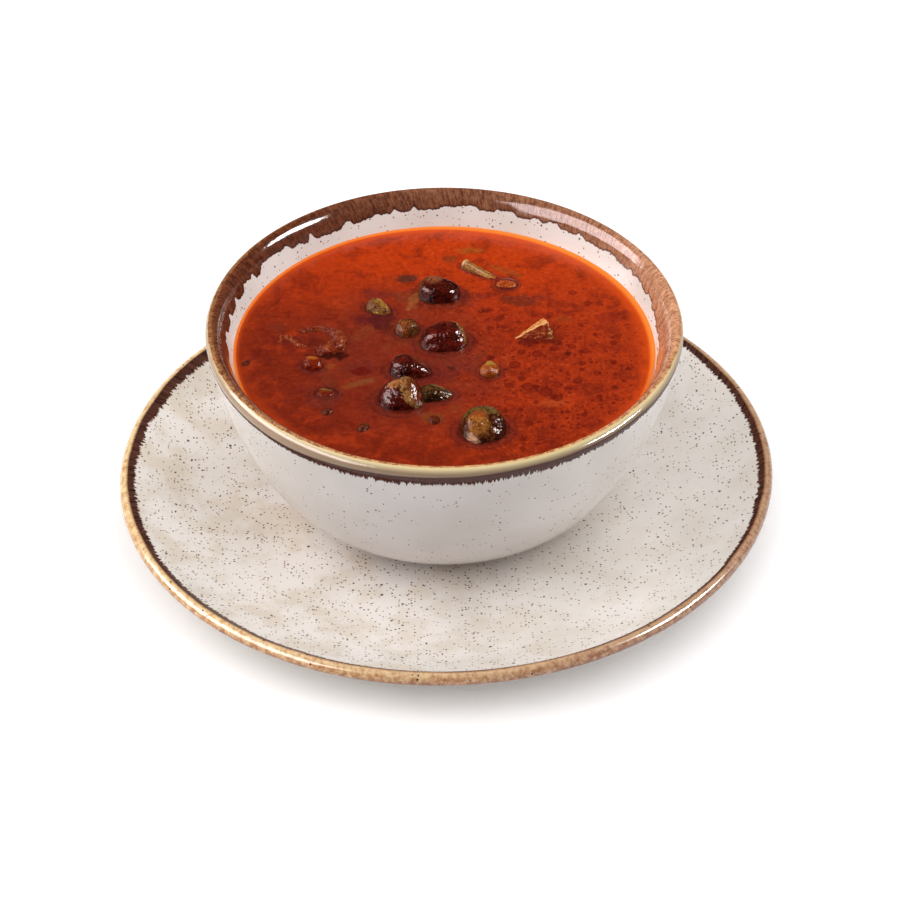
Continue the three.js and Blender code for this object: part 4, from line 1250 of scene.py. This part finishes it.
# %% Small bits
bit_paint = okra_paint("soup_bits", srgb(72, 22, 12), srgb(112, 42, 20), srgb(164, 96, 48), ridge=0.6,
                       gloss=0.08, rough=0.06)
for index, (at, rise, size) in enumerate(BITS, start=1):
    pod = dict(at=at, rise=rise, size=size, turn=(20 * index, 0, 0), form=(0.0, 3, 0.04, 0.08, index, 2.2))
    bit = shape_pod(pod, wrinkle=0.8, rings=36, sides=48)
    finish_piece(bit, f"soup_bit_{index}", bit_paint, "soup", "soup")

# %% [markdown]
# ## Floor and light
# The set stands on a plain white table of the kind that is faintly lit from below. Five large soft
# lights only light it, and never show in a reflection: two overhead give the pale floor and the
# faint shadow, and three at the left, the right and the back right lift the sides. Two more are
# only there to be mirrored: a tall soft one at the left draws the long streaks on the glaze and the
# pale crinkled patch on each pod, and a small bright one at the right draws the sharp glints. The
# sky is white for the camera and dim in the soup, or its red would turn grey.

# %% Floor
FLOOR_HALF = 1.1  # metres, large enough to fill the view behind the plate
FLOOR_GLOW = 0.07


def plain_floor():
    bm = bmesh.new()
    bmesh.ops.create_grid(bm, x_segments=1, y_segments=1, size=FLOOR_HALF)
    mesh = bpy.data.meshes.new("floor")
    bm.to_mesh(mesh)
    bm.free()
    paint = Paint("floor")
    tone = paint.noise(paint.place(), 0.004, 2.0)
    color = paint.mix(tone, (0.94, 0.94, 0.945, 1), (0.92, 0.92, 0.925, 1))
    paint.finish(color=color, roughness=0.9, specular=0.0, glow=(1, 1, 1, 1), glow_strength=FLOOR_GLOW)
    mesh.materials.append(paint.material)
    floor = bpy.data.objects.new("floor", mesh)
    bpy.context.scene.collection.objects.link(floor)


plain_floor()
print(f"floor {2 * FLOOR_HALF} m wide")


# %% Lights
LIGHT_AIM = Vector((0, 0, 0.06))


def softbox(name, toward, distance, size, power, color=(1, 1, 1), mirrored=False):
    """A rectangle of light, facing the bowl. mirrored: seen only in reflections, or else never in them."""
    data = bpy.data.lights.new(name, "AREA")
    data.shape = "RECTANGLE"
    data.size, data.size_y = size
    data.energy = power
    data.color = color
    light = bpy.data.objects.new(name, data)
    toward = Vector(toward).normalized()
    light.location = LIGHT_AIM + toward * distance
    light.rotation_euler = toward.to_track_quat("Z", "Y").to_euler()
    light.visible_glossy = mirrored
    light.visible_diffuse = not mirrored
    bpy.context.scene.collection.objects.link(light)
    print(f"{name}: {power} W at {tuple(round(c, 2) for c in light.location)} m")


def upward(azimuth, elevation):
    """A direction from degrees: azimuth anticlockwise from +X, elevation above the table."""
    a, e = math.radians(azimuth), math.radians(elevation)
    return (math.cos(a) * math.cos(e), math.sin(a) * math.cos(e), math.sin(e))


softbox("overhead", (0.0, -0.15, 1.0), 1.6, (3.0, 2.6), 30)
softbox("front_high", (0.0, -0.6, 1.0), 1.6, (2.0, 1.2), 9)
softbox("left_fill", upward(180, 29), 1.4, (1.3, 1.3), 15, (1.0, 0.98, 0.96))
softbox("right_fill", upward(-6, 24), 1.4, (1.3, 1.1), 6, (0.98, 0.99, 1.0))
softbox("back_right_fill", upward(60, 34), 1.4, (1.3, 1.1), 8)
softbox("left_streak", upward(196, 28), 1.3, (1.8, 0.85), 84, (1.0, 0.88, 0.9), mirrored=True)
softbox("right_glint", upward(-7, 31), 1.3, (0.6, 0.2), 60, mirrored=True)


# %% Sky
SKY_COLOR = (0.97, 0.98, 1, 1)
SKY_MIRRORED, SKY_LIGHTS, SKY_SEEN = 0.035, 0.05, 1.0


def dim_sky():
    """White where the camera sees it, a soft fill where it lights, and nearly dark where it's mirrored."""
    world = bpy.data.worlds.new("studio")
    bpy.context.scene.world = world
    world.use_nodes = True
    tree = world.node_tree
    background = tree.nodes["Background"]
    path = tree.nodes.new("ShaderNodeLightPath")
    seen = tree.nodes.new("ShaderNodeMix")
    lit = tree.nodes.new("ShaderNodeMix")
    lit.inputs["A"].default_value = SKY_MIRRORED
    lit.inputs["B"].default_value = SKY_LIGHTS
    seen.inputs["B"].default_value = SKY_SEEN
    tree.links.new(path.outputs["Is Diffuse Ray"], lit.inputs["Factor"])
    tree.links.new(path.outputs["Is Camera Ray"], seen.inputs["Factor"])
    tree.links.new(lit.outputs["Result"], seen.inputs["A"])
    tree.links.new(seen.outputs["Result"], background.inputs["Strength"])
    background.inputs["Color"].default_value = SKY_COLOR


dim_sky()
bpy.context.scene.view_settings.view_transform = "Standard"
print(f"sky strength: seen {SKY_SEEN}, lights {SKY_LIGHTS}, mirrored {SKY_MIRRORED}")

# %% [markdown]
# ## The camera
# The photograph looks down at the bowl by almost 39 degrees from over a metre away. The lens is
# long, so the lip's ellipse is hardly distorted.

# %% Camera
CAMERA_DISTANCE = 1300
CAMERA_DOWN = math.radians(38.745)
CAMERA_SIDE = 1.099
CAMERA_AIM_HEIGHT = 25.205
FRAME_WIDTH = 900
FOCAL_PIXELS = 3798.061
SENSOR = 36

camera_data = bpy.data.cameras.new("camera")
camera_data.sensor_width = SENSOR
camera_data.lens = FOCAL_PIXELS / FRAME_WIDTH * SENSOR
camera = bpy.data.objects.new("camera", camera_data)
camera.location = Vector((CAMERA_SIDE, -CAMERA_DISTANCE * math.cos(CAMERA_DOWN),
                          CAMERA_AIM_HEIGHT + CAMERA_DISTANCE * math.sin(CAMERA_DOWN))) * MM
camera.rotation_euler = (math.pi / 2 - CAMERA_DOWN, 0, 0)
bpy.context.scene.collection.objects.link(camera)
bpy.context.scene.camera = camera
print(f"camera at {tuple(round(c, 3) for c in camera.location)} m, lens {camera_data.lens:.1f} mm")
